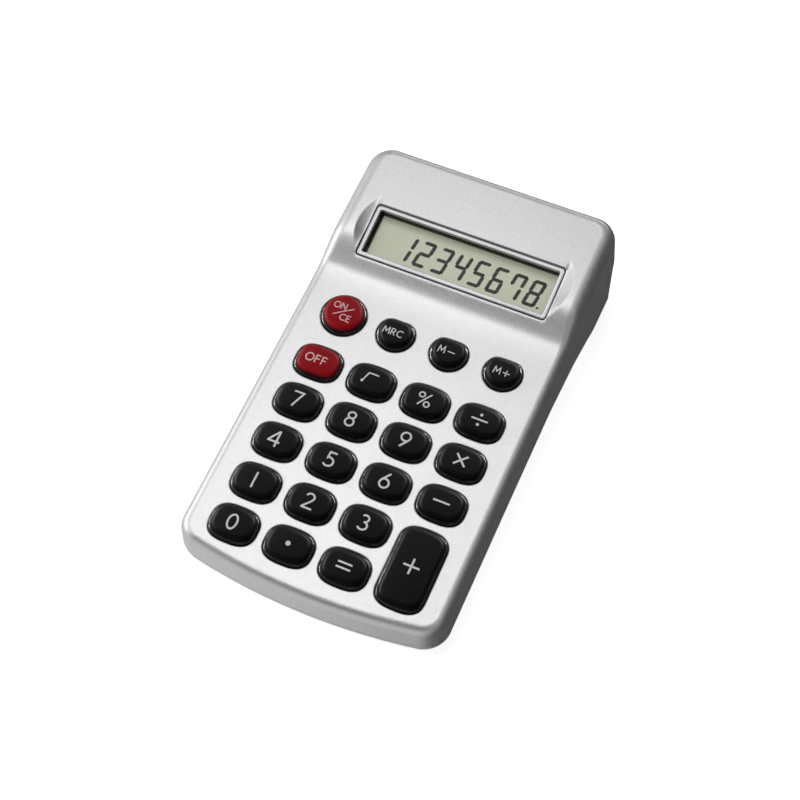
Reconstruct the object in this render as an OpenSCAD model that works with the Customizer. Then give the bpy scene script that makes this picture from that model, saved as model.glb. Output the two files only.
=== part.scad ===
// Pocket desk calculator with a sloped keypad, a raised display head and an AA cell bay.
// World frame: origin on the table under the middle of the case, +Y towards the display,
// +Z up. Most pieces are drawn in the keypad frame, whose XY plane is the keypad face and
// which is tilted about X; "deck" places that frame in the world.

/* [Case] */
// Width of the case at the parting line
case_w = 62.6; // [56:0.2:76]
// Distance from the keypad centre to the front end of the case
front_len = 31.4; // [29:0.2:38]
// Distance from the keypad centre to the rear end of the case
rear_len = 81; // [78:0.5:98]
// Angle of the keypad to the table, degrees
tilt = 7; // [5:0.5:9]
// Wall thickness of both case halves
wall = 1.6; // [1.2:0.1:1.9]
// Depth of the parting line below the keypad face
part_z = 7; // [6.4:0.1:9]
// Thickness of the case at its front edge
front_t = 8.9; // [8.6:0.1:12]
// Thickness of the case where the battery hump starts
waist_t = 10.6; // [10:0.1:14]
// Height of the display head above the keypad face
head_h = 4.3; // [3.6:0.1:6]
// Radius of the arc along the front edge
front_arc_r = 146; // [120:1:300]
// Corner radius at the front
front_corner_r = 6; // [4:0.5:8]
// Corner radius at the rear
rear_corner_r = 3.5; // [3:0.5:8]

/* [Keys] */
// Spacing of the key columns
col_pitch = 13; // [12.4:0.1:14]
// Spacing of the key rows
row_pitch = 10.65; // [10.2:0.05:11.6]
// Width of a key
key_w = 10.6; // [9:0.1:10.8]
// Length of a key along the case
key_l = 8.2; // [7:0.1:8.4]
// Corner radius of a key
key_r = 3.4; // [2:0.1:3.5]
// Diameter of the round on key
on_d = 10.5; // [9:0.1:10.8]
// Diameter of the memory keys before their flat is cut
memory_d = 8.6; // [8:0.1:9.6]
// Height of the key tops above the keypad face
key_up = 2; // [1:0.1:3]
// How far a key travels when it is pressed
key_travel = 1; // [0.5:0.1:1.2]
// Gap between a key and its hole, each side
key_gap = 0.25; // [0.15:0.05:0.4]
// How much the flat takes off a memory key, on the display's side
memory_cut = 0.9; // [0.6:0.1:1.6]

/* [Display] */
// Width of the display frame
frame_w = 46.8; // [44:0.2:48]
// Length of the display frame along the case
frame_l = 13.6; // [12:0.2:14]
// Width of the frame's border
frame_border = 1; // [0.8:0.1:1.6]
// Angle of the display to the keypad face, degrees
display_tilt = 6.5; // [4:0.5:8]
// Distance from the keypad centre to the middle of the display
display_y = 56.7; // [56:0.1:58]
// Height of the frame's face above the keypad face
display_z = 2.8; // [2.4:0.1:3.4]
// Depth of the liquid crystal panel below the frame's face
panel_depth = 2.9; // [2.6:0.1:3.2]

/* [Power] */
// Diameter of the cell
cell_d = 14.2; // [13.5:0.1:14.5]
// Length of the cell's can, without its positive cap
cell_l = 49.2; // [48:0.1:50]
// Thickness of the battery door
door_t = 1.6; // [1.2:0.1:2]

/* [Feet and screws] */
// Radius of a rubber foot
foot_r = 3.4; // [2.5:0.1:4]
// Height of the front feet below the case
foot_h = 0.8; // [0.6:0.1:1.2]
// Thread radius of the case screws
case_screw_r = 1; // [0.8:0.05:1.2]
// Thread radius of the board screws
board_screw_r = 0.8; // [0.6:0.05:0.9]

/* [Hidden] */
$fn = 64;
tiny = 0.02;
seam = 0.2;
fit_gap = 0.1;
slide_gap = 0.2;

KEYS = ["on_ce", "mrc", "m_minus", "m_plus", "off", "root", "percent", "divide",
        "7", "8", "9", "multiply", "4", "5", "6", "minus", "1", "2", "3",
        "0", "point", "equals", "plus"];

// Levels in the keypad frame, from the top down
flange_gap = 0.15;
flange_t = 0.9;
flange_rim = 0.7;
flange_top = -wall - flange_gap;
key_bottom = flange_top - flange_t;
mat_top = key_bottom - 0.05;
mat_t = 0.6;
dome_skin = key_travel + 0.1;
dome_h = 1.5;
mat_face = mat_top - dome_h;
board_top = mat_face - mat_t;
board_t = 1.2;
board_bottom = board_top - board_t;
pill_t = 0.3;

// Key positions by row and column
function col_x(c) = (c - 1.5) * col_pitch;
function row_y(r) = (3 - r) * row_pitch;
top_row_y = row_y(1) + key_l / 2 + 9.3;
plus_l = row_pitch + key_l;

// Each key: name, x, y, shape, width, length
LAYOUT = [
    ["on_ce", col_x(0), top_row_y, "round", on_d, on_d],
    ["mrc", col_x(1), top_row_y, "flat", memory_d, memory_d],
    ["m_minus", col_x(2), top_row_y, "flat", memory_d, memory_d],
    ["m_plus", col_x(3), top_row_y, "flat", memory_d, memory_d],
    ["off", col_x(0), row_y(1), "barrel", key_w, key_l],
    ["root", col_x(1), row_y(1), "barrel", key_w, key_l],
    ["percent", col_x(2), row_y(1), "barrel", key_w, key_l],
    ["divide", col_x(3), row_y(1), "barrel", key_w, key_l],
    ["7", col_x(0), row_y(2), "barrel", key_w, key_l],
    ["8", col_x(1), row_y(2), "barrel", key_w, key_l],
    ["9", col_x(2), row_y(2), "barrel", key_w, key_l],
    ["multiply", col_x(3), row_y(2), "barrel", key_w, key_l],
    ["4", col_x(0), row_y(3), "barrel", key_w, key_l],
    ["5", col_x(1), row_y(3), "barrel", key_w, key_l],
    ["6", col_x(2), row_y(3), "barrel", key_w, key_l],
    ["minus", col_x(3), row_y(3), "barrel", key_w, key_l],
    ["1", col_x(0), row_y(4), "barrel", key_w, key_l],
    ["2", col_x(1), row_y(4), "barrel", key_w, key_l],
    ["3", col_x(2), row_y(4), "barrel", key_w, key_l],
    ["0", col_x(0), row_y(5), "barrel", key_w, key_l],
    ["point", col_x(1), row_y(5), "barrel", key_w, key_l],
    ["equals", col_x(2), row_y(5), "barrel", key_w, key_l],
    ["plus", col_x(3), row_y(4.5), "barrel", key_w, plus_l]];

// Outline of the case in plan
half_w = case_w / 2;
arc_y = front_arc_r - front_len;
corner_x = half_w - front_corner_r;
corner_share = corner_x / (front_arc_r - front_corner_r);
corner_y = arc_y - sqrt(pow(front_arc_r - front_corner_r, 2) - pow(corner_x, 2));

// Side profile of the head: where it leaves the keypad and how it rises
rise_y = display_y - 10.9;
crest_y = display_y + 0.6;
draft = 0.06;
rear_draft = 0.16;
shoulder = 2.2;

// Depth of the narrow flat along the middle of the front arc
front_flat = 0.04;
rear_top = rear_len - rear_draft * (head_h + part_z - 1.6);

// Battery bay and hump
deck_z = foot_h + front_len * sin(tilt) + front_t * cos(tilt) - 3.2 * sin(tilt);
door_z = 0.3;
function hump_z(y, up) = (up - deck_z - y * sin(tilt)) / cos(tilt);
cell_y = rear_len - wall - 2.6 - cell_d / 2;
hump_y = cell_y - 7.4;
door_flange_t = 0.8;
cell_clear = 0.25;
cell_up = door_z + door_t + door_flange_t + 0.05 + cell_clear + cell_d / 2;
cell_z = hump_z(cell_y, cell_up);
cell_x = 0.6;
bay_wall_y = cell_y - cell_d / 2 - 1.4;
board_front = -front_len + wall + 4;
board_rear = bay_wall_y - 2.2;

// Where the deck stands so that the case is centred on the world's Y axis
case_points = concat(upper_profile(0), lower_profile(0));
reach_y = [for (p = case_points) p[0] * cos(tilt) - p[1] * sin(tilt)];
deck_y = -(min(reach_y) + max(reach_y)) / 2;

// Screws in the keypad frame
screw_side_x = half_w - wall - 2.5;
case_screw_at = [[-screw_side_x, rise_y - 2.6], [screw_side_x, rise_y - 2.6],
                 [0, -front_len + wall + 2.1]];
board_side_x = half_w - wall - 1.9;
board_screw_at = [for (x = [-board_side_x, board_side_x], y = [row_y(4.5), row_y(2)]) [x, y]];
case_boss_r = case_screw_r + 0.9;
board_boss_r = board_screw_r + 0.75;

module deck() {
    translate([0, deck_y, deck_z]) rotate([tilt, 0, 0]) children();
}

module display_place() {
    translate([0, display_y, display_z]) rotate([display_tilt, 0, 0]) children();
}

module rounded_slab(w, l, r, z0, z1) {
    translate([0, 0, z0]) linear_extrude(height = z1 - z0) rounded_rect(w, l, r);
}

module rounded_rect(w, l, r) {
    square([w - 2 * r, l], center = true);
    square([w, l - 2 * r], center = true);
    for (x = [-1, 1], y = [-1, 1]) {
        translate([x * (w / 2 - r), y * (l / 2 - r)]) circle(r);
    }
}

// Case outline, drawn inward by "t" on every side
module case_outline(t) {
    reach = (front_arc_r - t) * corner_share;
    intersection() {
        translate([0, arc_y]) circle(front_arc_r - t, $fn = 256);
        translate([-reach, -front_len]) square([2 * reach, front_len]);
    }
    translate([t - half_w, corner_y]) {
        square([case_w - 2 * t, rear_len - rear_corner_r - corner_y]);
    }
    translate([rear_corner_r - half_w, 0]) {
        square([case_w - 2 * rear_corner_r, rear_len - t]);
    }
    for (x = [-1, 1]) {
        translate([x * corner_x, corner_y]) circle(front_corner_r - t);
        translate([x * (half_w - rear_corner_r), rear_len - rear_corner_r]) {
            circle(rear_corner_r - t);
        }
    }
}

// A solid with a (y, z) profile, running right across the case
module across(points) {
    rotate([90, 0, 90]) linear_extrude(height = case_w + 2, center = true) polygon(points);
}

// A solid with an (x, z) profile, running from y0 to y1
module along(points, y0, y1) {
    translate([0, y1, 0]) rotate([90, 0, 0]) linear_extrude(height = y1 - y0) polygon(points);
}

// Bottom edge of the upper half, just above the parting line, or of its hollow, below it
function upper_edge(t) = seam - part_z - t;

// Half width of the upper half at height z, drawn in by t
function side_x(z, t) = half_w - t - draft * (z + part_z);

// (x, z) section of the upper half with its top at height h, drawn in by t
function upper_section(h, t) = [
    [-side_x(-part_z, t), upper_edge(t)],
    [side_x(-part_z, t), upper_edge(t)],
    [side_x(h - shoulder, t), h - shoulder],
    [side_x(h - 0.7, t) - 0.6, h - 0.7 - t],
    [side_x(h, t) - shoulder, h - t],
    [shoulder - side_x(h, t), h - t],
    [0.6 - side_x(h - 0.7, t), h - 0.7 - t],
    [-side_x(h - shoulder, t), h - shoulder]];

// (y, z) profile of the upper half, drawn in by t
function upper_profile(t) = [
    [t - front_len + front_flat, upper_edge(t)],
    [rear_len - t, upper_edge(t)],
    [rear_top - t, head_h - 1.6],
    [rear_top - t - 0.5, head_h - 0.5 - t],
    [rear_top - t - 1.6, head_h - t],
    [crest_y + 6, head_h - 0.2 - t],
    [crest_y, head_h - 0.5 - t],
    [crest_y - 4, head_h - 1.5 - t],
    [rise_y + 3.6, 1.5 - t],
    [rise_y, -t],
    [1.4 + t - front_len, -t],
    [0.7 + t - front_len, -1 - t]];

module upper_shape(t) {
    intersection() {
        translate([0, 0, upper_edge(t)]) {
            linear_extrude(height = part_z + head_h + 1) case_outline(t);
        }
        across(upper_profile(t));
        union() {
            along(upper_section(0, t), -front_len - 1, rise_y + 3);
            along(upper_section(head_h, t), rise_y, rear_len + 1);
        }
    }
}

// Shallow well around the display, open towards the keypad, with bowed ends
module display_well(t) {
    bow_r = 13;
    bow_x = frame_w / 2 + 2.6 - bow_r;
    display_place() translate([0, 0, -0.1 - t]) linear_extrude(height = 6) {
        square([frame_w + 0.6 - 2 * t, frame_l + 1.6 - 2 * t], center = true);
        intersection() {
            for (x = [-1, 1]) translate([x * bow_x, 0.6]) circle(bow_r - t);
            square([case_w, frame_l + 1.6 - 2 * t], center = true);
        }
    }
}

module display_opening(gap, z0, z1) {
    display_place() rounded_slab(frame_w + 2 * gap, frame_l + 2 * gap, 0.8 + gap, z0, z1);
}

// Key outline, grown by "g" on every side
module key_outline(shape, w, l, g) {
    if (shape == "round") {
        circle(w / 2 + g);
    } else if (shape == "flat") {
        intersection() {
            circle(w / 2 + g);
            translate([0, -memory_cut]) square([w + 2 * g, l + 2 * g], center = true);
        }
    } else {
        intersection() {
            rounded_rect(w + 2 * g, l + 2 * g, key_r + g);
            barrel_arcs(l, g);
        }
    }
}

// Large arcs that give the key its barrel shape
module barrel_arcs(l, g) {
    bulge = 26;
    intersection() {
        translate([0, bulge - l / 2]) circle(bulge + g, $fn = 128);
        translate([0, l / 2 - bulge]) circle(bulge + g, $fn = 128);
    }
}

module key_prism(k, g, z0, z1) {
    translate([k[1], k[2], z0]) linear_extrude(height = z1 - z0) key_outline(k[3], k[4], k[5], g);
}

// One key: crowned cap in three steps, straight barrel, and the flange that keeps it in
module key(k) {
    dark = [0.07, 0.07, 0.075];
    red = [0.5, 0.04, 0.06];
    color(k[0] == "on_ce" || k[0] == "off" ? red : dark) deck() {
        key_prism(k, -0.7, key_up - 0.3, key_up);
        key_prism(k, -0.3, key_up - 0.7, key_up - 0.3);
        key_prism(k, 0, flange_top - tiny, key_up - 0.7);
        key_prism(k, flange_rim, key_bottom, flange_top);
    }
}

module upper_bosses(grow, z0) {
    for (p = case_screw_at) {
        translate([p[0], p[1], z0]) cylinder(h = -wall / 2 - z0, r = case_boss_r + grow);
    }
    for (p = board_screw_at) {
        translate([p[0], p[1], z0]) cylinder(h = -wall / 2 - z0, r = board_boss_r + grow);
    }
}

module upper_case() {
    color([0.8, 0.8, 0.81]) deck() difference() {
        union() {
            difference() {
                upper_shape(0);
                display_well(0);
                difference() {
                    translate([0, 0, -tiny]) upper_shape(wall);
                    display_well(wall);
                }
            }
            upper_bosses(0, board_top);
        }
        display_opening(fit_gap, -8, 4);
        for (k = LAYOUT) key_prism(k, key_gap, -wall - 1, 2);
        for (p = case_screw_at) {
            translate([p[0], p[1], board_top - 1]) cylinder(h = 4, r = case_screw_r + 0.05);
        }
        for (p = board_screw_at) {
            translate([p[0], p[1], board_top - 1]) cylinder(h = 3.6, r = board_screw_r + 0.05);
        }
    }
}

// (y, z) profile of the lower half, drawn in by t
function lower_profile(t) = [
    [t - front_len + front_flat, -part_z],
    [0.9 + t - front_len, min(0.3 + t - front_t, -part_z - t / 8)],
    [2 + t - front_len, min(t - front_t, -part_z - t / 6)],
    [row_y(2), t - waist_t + 0.6],
    [rise_y - 8 + t / 2, t - waist_t - 0.6],
    [rise_y + 4, t - waist_t - 3.8],
    [hump_y - 1.5 + t / 2, hump_z(hump_y - 1.5, 1.2) + t],
    [hump_y + 1.5 + t / 2, hump_z(hump_y + 1.5, t)],
    [rear_len - 5.2 - t, hump_z(rear_len - 5.2 - t, t)],
    [rear_len - 3 - t, hump_z(rear_len - 3 - t, 1.6 + t / 2)],
    [rear_len - 1 - t, -part_z - 8],
    [rear_len - t, -part_z]];

module lower_shape(t) {
    depth = waist_t + 14;
    intersection() {
        translate([0, 0, -depth]) linear_extrude(height = depth - part_z + t) case_outline(t);
        across(lower_profile(t));
    }
}

// The box that the door fills, in world coordinates, grown by g
module door_zone(w, z0, z1, g) {
    y0 = world_y(hump_y + 0.6, -16) - g;
    translate([-w / 2 - g, y0, z0 - g]) cube([w + 2 * g, 40, z1 - z0 + 2 * g]);
}

function world_y(y, z) = deck_y + y * cos(tilt) - z * sin(tilt);

door_w = case_w - 8;
door_top = door_z + door_t;
door_flange_w = door_w + 3.4;

// Lip that stands up inside the upper half, just below the board
module lower_lip() {
    lip_t = 0.9;
    lip_gap = fit_gap + 0.25;
    difference() {
        translate([0, 0, -part_z - 1]) {
            linear_extrude(height = part_z + 1 + board_bottom - 0.15) difference() {
                case_outline(wall + lip_gap);
                case_outline(wall + lip_gap + lip_t);
            }
        }
        for (p = concat(case_screw_at, board_screw_at)) {
            translate([p[0], p[1], -part_z - 2]) cylinder(h = 6, r = case_boss_r + 0.3);
        }
    }
}

module lower_case() {
    screw_head_up = 1.1;
    color([0.62, 0.62, 0.64]) difference() {
        union() {
            deck() difference() {
                lower_shape(0);
                lower_shape(wall);
            }
            deck() lower_lip();
            deck() lower_posts();
            deck() bay_walls();
            door_rails();
        }
        door_zone(door_w, -1, door_top, slide_gap);
        door_zone(door_flange_w, door_top, door_top + door_flange_t, slide_gap);
        deck() for (p = case_screw_at) {
            translate([p[0], p[1], -waist_t - 8]) cylinder(h = 24, r = case_screw_r + 0.15);
            translate([p[0], p[1], -waist_t - 8]) {
                cylinder(h = waist_t + 8 - screw_depth(p), r = screw_head_r + 0.2);
            }
        }
        for (p = foot_at) translate([p[0], p[1], -1]) cylinder(h = foot_top + 1, r = foot_r + fit_gap);
    }
}

screw_head_r = 1.8;
screw_head_t = 1;
// Depth of a case screw's head seat below the keypad face
function screw_depth(p) = p[1] < 0 ? front_t - 1.3 : waist_t - 0.6;

// Posts that carry the case screws, up to the bosses of the upper half
module lower_posts() {
    for (p = case_screw_at) {
        d = screw_depth(p);
        intersection() {
            translate([p[0], p[1], -d - 1.6]) {
                cylinder(h = d + 1.6 + board_top, r = screw_head_r + 1);
            }
            translate([0, 0, -40]) linear_extrude(height = 60) case_outline(wall + 0.5);
            across(concat([[-front_len - 1, 0], [-front_len, -part_z]],
                [for (i = [1:10]) lower_profile(wall / 2)[i]], [[rear_len, -part_z], [rear_len, 0]]));
        }
    }
}

// Front wall of the battery bay, with two cradle ribs
module bay_walls() {
    wall_t = 1;
    top = -part_z + 1.6;
    intersection() {
        union() {
            translate([-half_w, bay_wall_y - wall_t, -40]) cube([case_w, wall_t, 40 + top]);
            for (x = [-12, 12]) difference() {
                translate([x - 0.5, bay_wall_y - tiny, -40]) {
                    cube([1, cell_y - bay_wall_y, 40 + cell_z - 4]);
                }
                translate([x - 1, cell_y, cell_z]) rotate([0, 90, 0]) cylinder(h = 2, d = cell_d + 0.5);
            }
        }
        translate([0, 0, -40]) linear_extrude(height = 40 + top + 1) case_outline(wall + fit_gap + 0.2);
        across(concat([[0, 0]], [for (i = [3:10]) lower_profile(wall - tiny)[i]], [[rear_len, 0]]));
    }
}

// Rails inside the case that hold the door's flange down
module door_rails() {
    rail_t = 0.8;
    z0 = door_top + door_flange_t + slide_gap + 0.1;
    y0 = world_y(hump_y + 2, -16);
    intersection() {
        for (x = [-1, 1]) {
            translate([x * (half_w - wall - 0.9) - 0.95, y0, z0]) cube([1.9, 13, rail_t]);
        }
        deck() lower_shape(wall / 2);
    }
}

foot_at = [for (x = [-1, 1]) [x * (half_w - 8), world_y(7 - front_len, -front_t)]];
foot_top = foot_h + 1.1;

module rubber_feet() {
    color([0.12, 0.12, 0.12]) for (p = foot_at) {
        translate([p[0], p[1], 0]) cylinder(h = foot_top, r = foot_r);
    }
}

module battery_door() {
    grip_n = 5;
    color([0.6, 0.6, 0.62]) difference() {
        union() {
            intersection() {
                deck() lower_shape(0);
                door_zone(door_w, door_z, door_top, 0);
            }
            intersection() {
                deck() lower_shape(0);
                door_zone(door_flange_w, door_top - tiny, door_top + door_flange_t, 0);
            }
        }
        for (i = [0:grip_n - 1]) {
            translate([-7, world_y(hump_y + 5 + 1.6 * i, -16), door_z - 1]) cube([14, 0.8, 1.4]);
        }
    }
}

module display_frame() {
    color([0.86, 0.86, 0.88]) display_place_deck() difference() {
        rounded_slab(frame_w, frame_l, 0.8, -0.9, 0);
        rounded_slab(frame_w - 2 * frame_border, frame_l - 2 * frame_border, 0.4, -1.5, 1);
    }
}

module display_place_deck() {
    deck() display_place() children();
}

pane_t = 0.7;
pane_top = -0.95;
collar_top = pane_top - pane_t - 0.05;
panel_top = -panel_depth;
glass_w = frame_w + 2.2;
glass_l = frame_l + 3.4;
glass_t = 0.7;
film_t = 0.2;
ledge = 2.4;

module display_window() {
    color([0.9, 0.95, 0.95, 0.3]) display_place_deck() {
        rounded_slab(frame_w - 0.2, frame_l - 0.2, 0.7, pane_top - pane_t, pane_top);
    }
}

// Black holder: a collar that lines the opening and a tray that the panel sits up into
module display_holder() {
    tray_z = panel_top - film_t - 2 * glass_t - 0.1;
    tray_wall = 1 - max(0, wall - 1.6);
    color([0.06, 0.06, 0.06]) display_place_deck() difference() {
        union() {
            rounded_slab(frame_w - 0.1, frame_l - 0.1, 0.75, panel_top, collar_top);
            rounded_slab(glass_w + 2.4, glass_l + 2 * tray_wall, tray_wall, tray_z, panel_top);
        }
        rounded_slab(frame_w - 2 * frame_border, frame_l - 2 * frame_border, 0.4, -9, 1);
        rounded_slab(glass_w + 0.2, glass_l + 0.2, 0.3, tray_z - 1, panel_top - 0.02);
    }
}

module glass_sheet(w, l, y, top, t) {
    display_place_deck() translate([-w / 2, y - l / 2, top - t]) cube([w, l, t]);
}

module front_polariser() {
    color([0.7, 0.72, 0.6, 0.4]) {
        glass_sheet(glass_w - 2.4, glass_l - ledge, ledge / 2 - 0.4, panel_top - 0.02, film_t - 0.02);
    }
}

module front_glass() {
    color([0.8, 0.85, 0.8, 0.5]) glass_sheet(glass_w, glass_l, 0, panel_top - film_t, glass_t);
}

module rear_glass() {
    color([0.78, 0.83, 0.78, 0.5]) {
        glass_sheet(glass_w, glass_l - ledge, ledge / 2, panel_top - film_t - glass_t, glass_t);
    }
}

module reflector() {
    color([0.72, 0.74, 0.62]) {
        glass_sheet(glass_w - 1, glass_l - ledge - 1, ledge / 2, panel_top - film_t - 2 * glass_t, film_t);
    }
}

// A point of the display frame, given in the keypad frame
function display_point(y, z) = [display_y + y * cos(display_tilt) - z * sin(display_tilt),
                                display_z + y * sin(display_tilt) + z * cos(display_tilt)];

// Elastomer strip from the board up to the front glass's contact ledge
module contact_strip() {
    z = panel_top - film_t - glass_t;
    a = display_point(-glass_l / 2 + 0.3, z);
    b = display_point(-glass_l / 2 + ledge - 0.3, z);
    w = glass_w - 4;
    color([0.85, 0.5, 0.55]) deck() translate([w / 2, 0, 0]) rotate([90, 0, -90]) {
        linear_extrude(height = w) {
            polygon([[-a[0], board_top], [-a[0], a[1]], [-b[0], b[1]], [-b[0], board_top]]);
        }
    }
}

module main_board() {
    color([0.1, 0.35, 0.15]) deck() difference() {
        translate([0, 0, board_bottom]) linear_extrude(height = board_t) intersection() {
            case_outline(wall + 0.6);
            translate([-half_w, board_front]) square([case_w, board_rear - board_front]);
        }
        for (p = case_screw_at) {
            translate([p[0], p[1], -20]) cylinder(h = 30, r = screw_head_r + 1.3);
        }
        for (p = board_screw_at) {
            translate([p[0], p[1], -20]) cylinder(h = 30, r = board_screw_r + 0.1);
        }
    }
}

module chip_blob() {
    color([0.03, 0.03, 0.03]) deck() translate([0, rise_y - 8, board_bottom]) {
        rotate([180, 0, 0]) intersection() {
            translate([0, 0, -8.2]) sphere(r = 10);
            cylinder(h = 3, r = 7);
        }
    }
}

module board_parts() {
    color([0.75, 0.65, 0.45]) deck() {
        for (i = [0:3]) {
            translate([12 + 3 * i, rise_y - 8, board_bottom - 1]) cube([1.3, 2.4, 1]);
        }
        translate([-16, rise_y - 8, board_bottom - 2.6]) cylinder(h = 2.6, r = 2);
    }
}

dome_r = 3.6;
mat_w = 2 * (board_side_x - board_boss_r - 0.3);

module key_mat() {
    color([0.85, 0.85, 0.85]) deck() difference() {
        union() {
            translate([-mat_w / 2, board_front + 0.2, board_top]) {
                cube([mat_w, top_row_y + 6.4 - board_front, mat_t]);
            }
            for (k = LAYOUT) {
                translate([k[1], k[2], mat_face - tiny]) {
                    cylinder(h = dome_h + tiny, r1 = dome_r, r2 = dome_r - 0.9);
                }
            }
        }
        for (k = LAYOUT) {
            translate([k[1], k[2], board_top - 1]) {
                cylinder(h = 1 + mat_t + dome_h - dome_skin, r = dome_r - 1.6);
            }
        }
        for (p = case_screw_at) {
            translate([p[0], p[1], -20]) cylinder(h = 30, r = screw_head_r + 1.3);
        }
    }
}

module carbon_pills() {
    color([0.05, 0.05, 0.05]) deck() for (k = LAYOUT) {
        translate([k[1], k[2], mat_top - dome_skin - pill_t]) cylinder(h = pill_t, r = dome_r - 1.9);
    }
}

module cell_place() {
    deck() translate([cell_x, cell_y, cell_z]) rotate([0, 90, 0]) children();
}

cap_l = 1.3;

module cell_can() {
    color([0.25, 0.3, 0.5]) cell_place() {
        translate([0, 0, -cell_l / 2]) cylinder(h = cell_l, d = cell_d);
    }
}

module cell_cap() {
    color([0.8, 0.8, 0.8]) cell_place() translate([0, 0, cell_l / 2]) cylinder(h = cap_l, d = 5.4);
}

contact_t = 0.4;

module contact_plate(x) {
    deck() translate([x - contact_t / 2, cell_y - 4.5, cell_z - 4]) cube([contact_t, 9, 10]);
}

plus_plate_x = cell_x + cell_l / 2 + cap_l + contact_t / 2;
minus_plate_x = cell_x - cell_l / 2 - 2.2 - contact_t / 2;

module positive_contact() {
    color([0.8, 0.8, 0.78]) contact_plate(plus_plate_x);
}

module negative_contact() {
    color([0.8, 0.8, 0.78]) contact_plate(minus_plate_x);
}

function unit(v) = v / norm(v);

// A tube of radius r along a path, with its ring turned square to the path
module tube(path, r, ref, sides) {
    n = len(path);
    function way(i) = unit(path[min(i + 1, n - 1)] - path[max(i - 1, 0)]);
    function ring(i) = let (u = unit(cross(way(i), ref)), v = cross(u, way(i)))
        [for (a = [0:sides - 1]) path[i] + r * (cos(360 * a / sides) * u + sin(360 * a / sides) * v)];
    points = [for (i = [0:n - 1]) each ring(i)];
    walls = [for (i = [0:n - 2], a = [0:sides - 1]) let (b = (a + 1) % sides)
        [i * sides + a, i * sides + b, (i + 1) * sides + b, (i + 1) * sides + a]];
    start = [for (a = [sides - 1:-1:0]) a];
    end = [for (a = [0:sides - 1]) (n - 1) * sides + a];
    polyhedron(points, concat([start], walls, [end]), convexity = 6);
}

// Conical coil between the negative plate and the bottom of the cell
module negative_spring() {
    turns = 3.5;
    steps = 16;
    wire_r = 0.25;
    x0 = minus_plate_x + contact_t / 2 + wire_r + 0.02;
    x1 = cell_x - cell_l / 2 - wire_r - 0.02;
    path = [for (i = [0:turns * steps]) let (s = i / (turns * steps), a = 360 * i / steps)
        [x0 + (x1 - x0) * s, cell_y + (4.2 - 1.8 * s) * cos(a), cell_z + (4.2 - 1.8 * s) * sin(a)]];
    color([0.8, 0.8, 0.8]) deck() tube(path, wire_r, [1, 0, 0], 8);
}

lead_r = 0.5;

// Lead from the top of a contact plate, over the bay's wall, to the board
module lead(x, inward) {
    top = cell_z + 6 + lead_r + 0.05;
    over = max(top, board_top + lead_r + 0.2);
    path = [
        [x, cell_y - 1, top],
        [x, cell_y - 3, top + 0.2],
        [x - inward * 0.4, cell_y - 5.5, over + 0.3],
        [x - inward * 1.2, bay_wall_y - 0.5, over + 0.3],
        [x - inward * 2.2, bay_wall_y - 2.6, over + 0.1],
        [x - inward * 3, bay_wall_y - 4.6, board_top + lead_r + 0.6],
        [x - inward * 3.4, bay_wall_y - 6.4, board_top + lead_r + 0.2]];
    deck() tube(path, lead_r, [0, 0, 1], 8);
}

module positive_lead() {
    color([0.7, 0.05, 0.05]) lead(plus_plate_x, 1);
}

module negative_lead() {
    color([0.05, 0.05, 0.05]) lead(minus_plate_x, -1);
}

module screw(p, head_z, head_r, head_t, shank_r, top_z) {
    translate([p[0], p[1], head_z - head_t]) difference() {
        union() {
            cylinder(h = head_t, r = head_r);
            cylinder(h = top_z - head_z + head_t, r = shank_r);
        }
        for (a = [0, 90]) {
            rotate([0, 0, a]) translate([-head_r * 0.6, -0.2, -1]) cube([head_r * 1.2, 0.4, 1.5]);
        }
    }
}

module case_screws() {
    color([0.35, 0.35, 0.36]) deck() for (p = case_screw_at) {
        screw(p, -screw_depth(p), screw_head_r, screw_head_t, case_screw_r, -wall - 1);
    }
}

module board_screws() {
    color([0.7, 0.7, 0.65]) deck() for (p = board_screw_at) {
        screw(p, board_bottom, board_screw_r + 0.7, 0.6, board_screw_r, -wall - 0.6);
    }
}

upper_case();
lower_case();
display_frame();
display_window();
display_holder();
front_polariser();
front_glass();
rear_glass();
reflector();
contact_strip();
main_board();
chip_blob();
board_parts();
key_mat();
carbon_pills();
cell_can();
cell_cap();
positive_contact();
negative_contact();
negative_spring();
positive_lead();
negative_lead();
case_screws();
board_screws();
rubber_feet();
battery_door();
for (k = LAYOUT) key(k);
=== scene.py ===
from math import asin, cos, pi, radians, sin, sqrt
import bpy
import bmesh
import numpy as np
from mathutils import Matrix, Vector
from mathutils.geometry import delaunay_2d_cdt


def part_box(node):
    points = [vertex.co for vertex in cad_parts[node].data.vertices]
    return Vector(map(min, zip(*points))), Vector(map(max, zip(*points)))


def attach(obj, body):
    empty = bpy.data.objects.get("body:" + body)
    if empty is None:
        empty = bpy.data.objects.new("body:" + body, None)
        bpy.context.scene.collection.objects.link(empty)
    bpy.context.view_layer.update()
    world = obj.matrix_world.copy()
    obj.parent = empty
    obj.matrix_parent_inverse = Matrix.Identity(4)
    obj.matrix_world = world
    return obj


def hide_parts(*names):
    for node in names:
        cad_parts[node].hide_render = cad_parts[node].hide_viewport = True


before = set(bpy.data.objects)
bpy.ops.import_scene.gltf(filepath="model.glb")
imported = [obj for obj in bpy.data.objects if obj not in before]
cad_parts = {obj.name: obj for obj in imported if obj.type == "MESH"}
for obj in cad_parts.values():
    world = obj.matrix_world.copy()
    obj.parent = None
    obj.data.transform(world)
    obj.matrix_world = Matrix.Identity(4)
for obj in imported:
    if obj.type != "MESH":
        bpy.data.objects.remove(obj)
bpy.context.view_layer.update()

# Places, in millimetres and degrees: the keypad face in the world, and the display face on it
deck = {"tilt": 7, "y": -25.451, "z": 13.070}
display = {"tilt": 6.5, "y": 56.7, "z": 2.8}
mm = 0.001
toMetres = Matrix.Diagonal((mm, mm, mm, 1))
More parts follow.
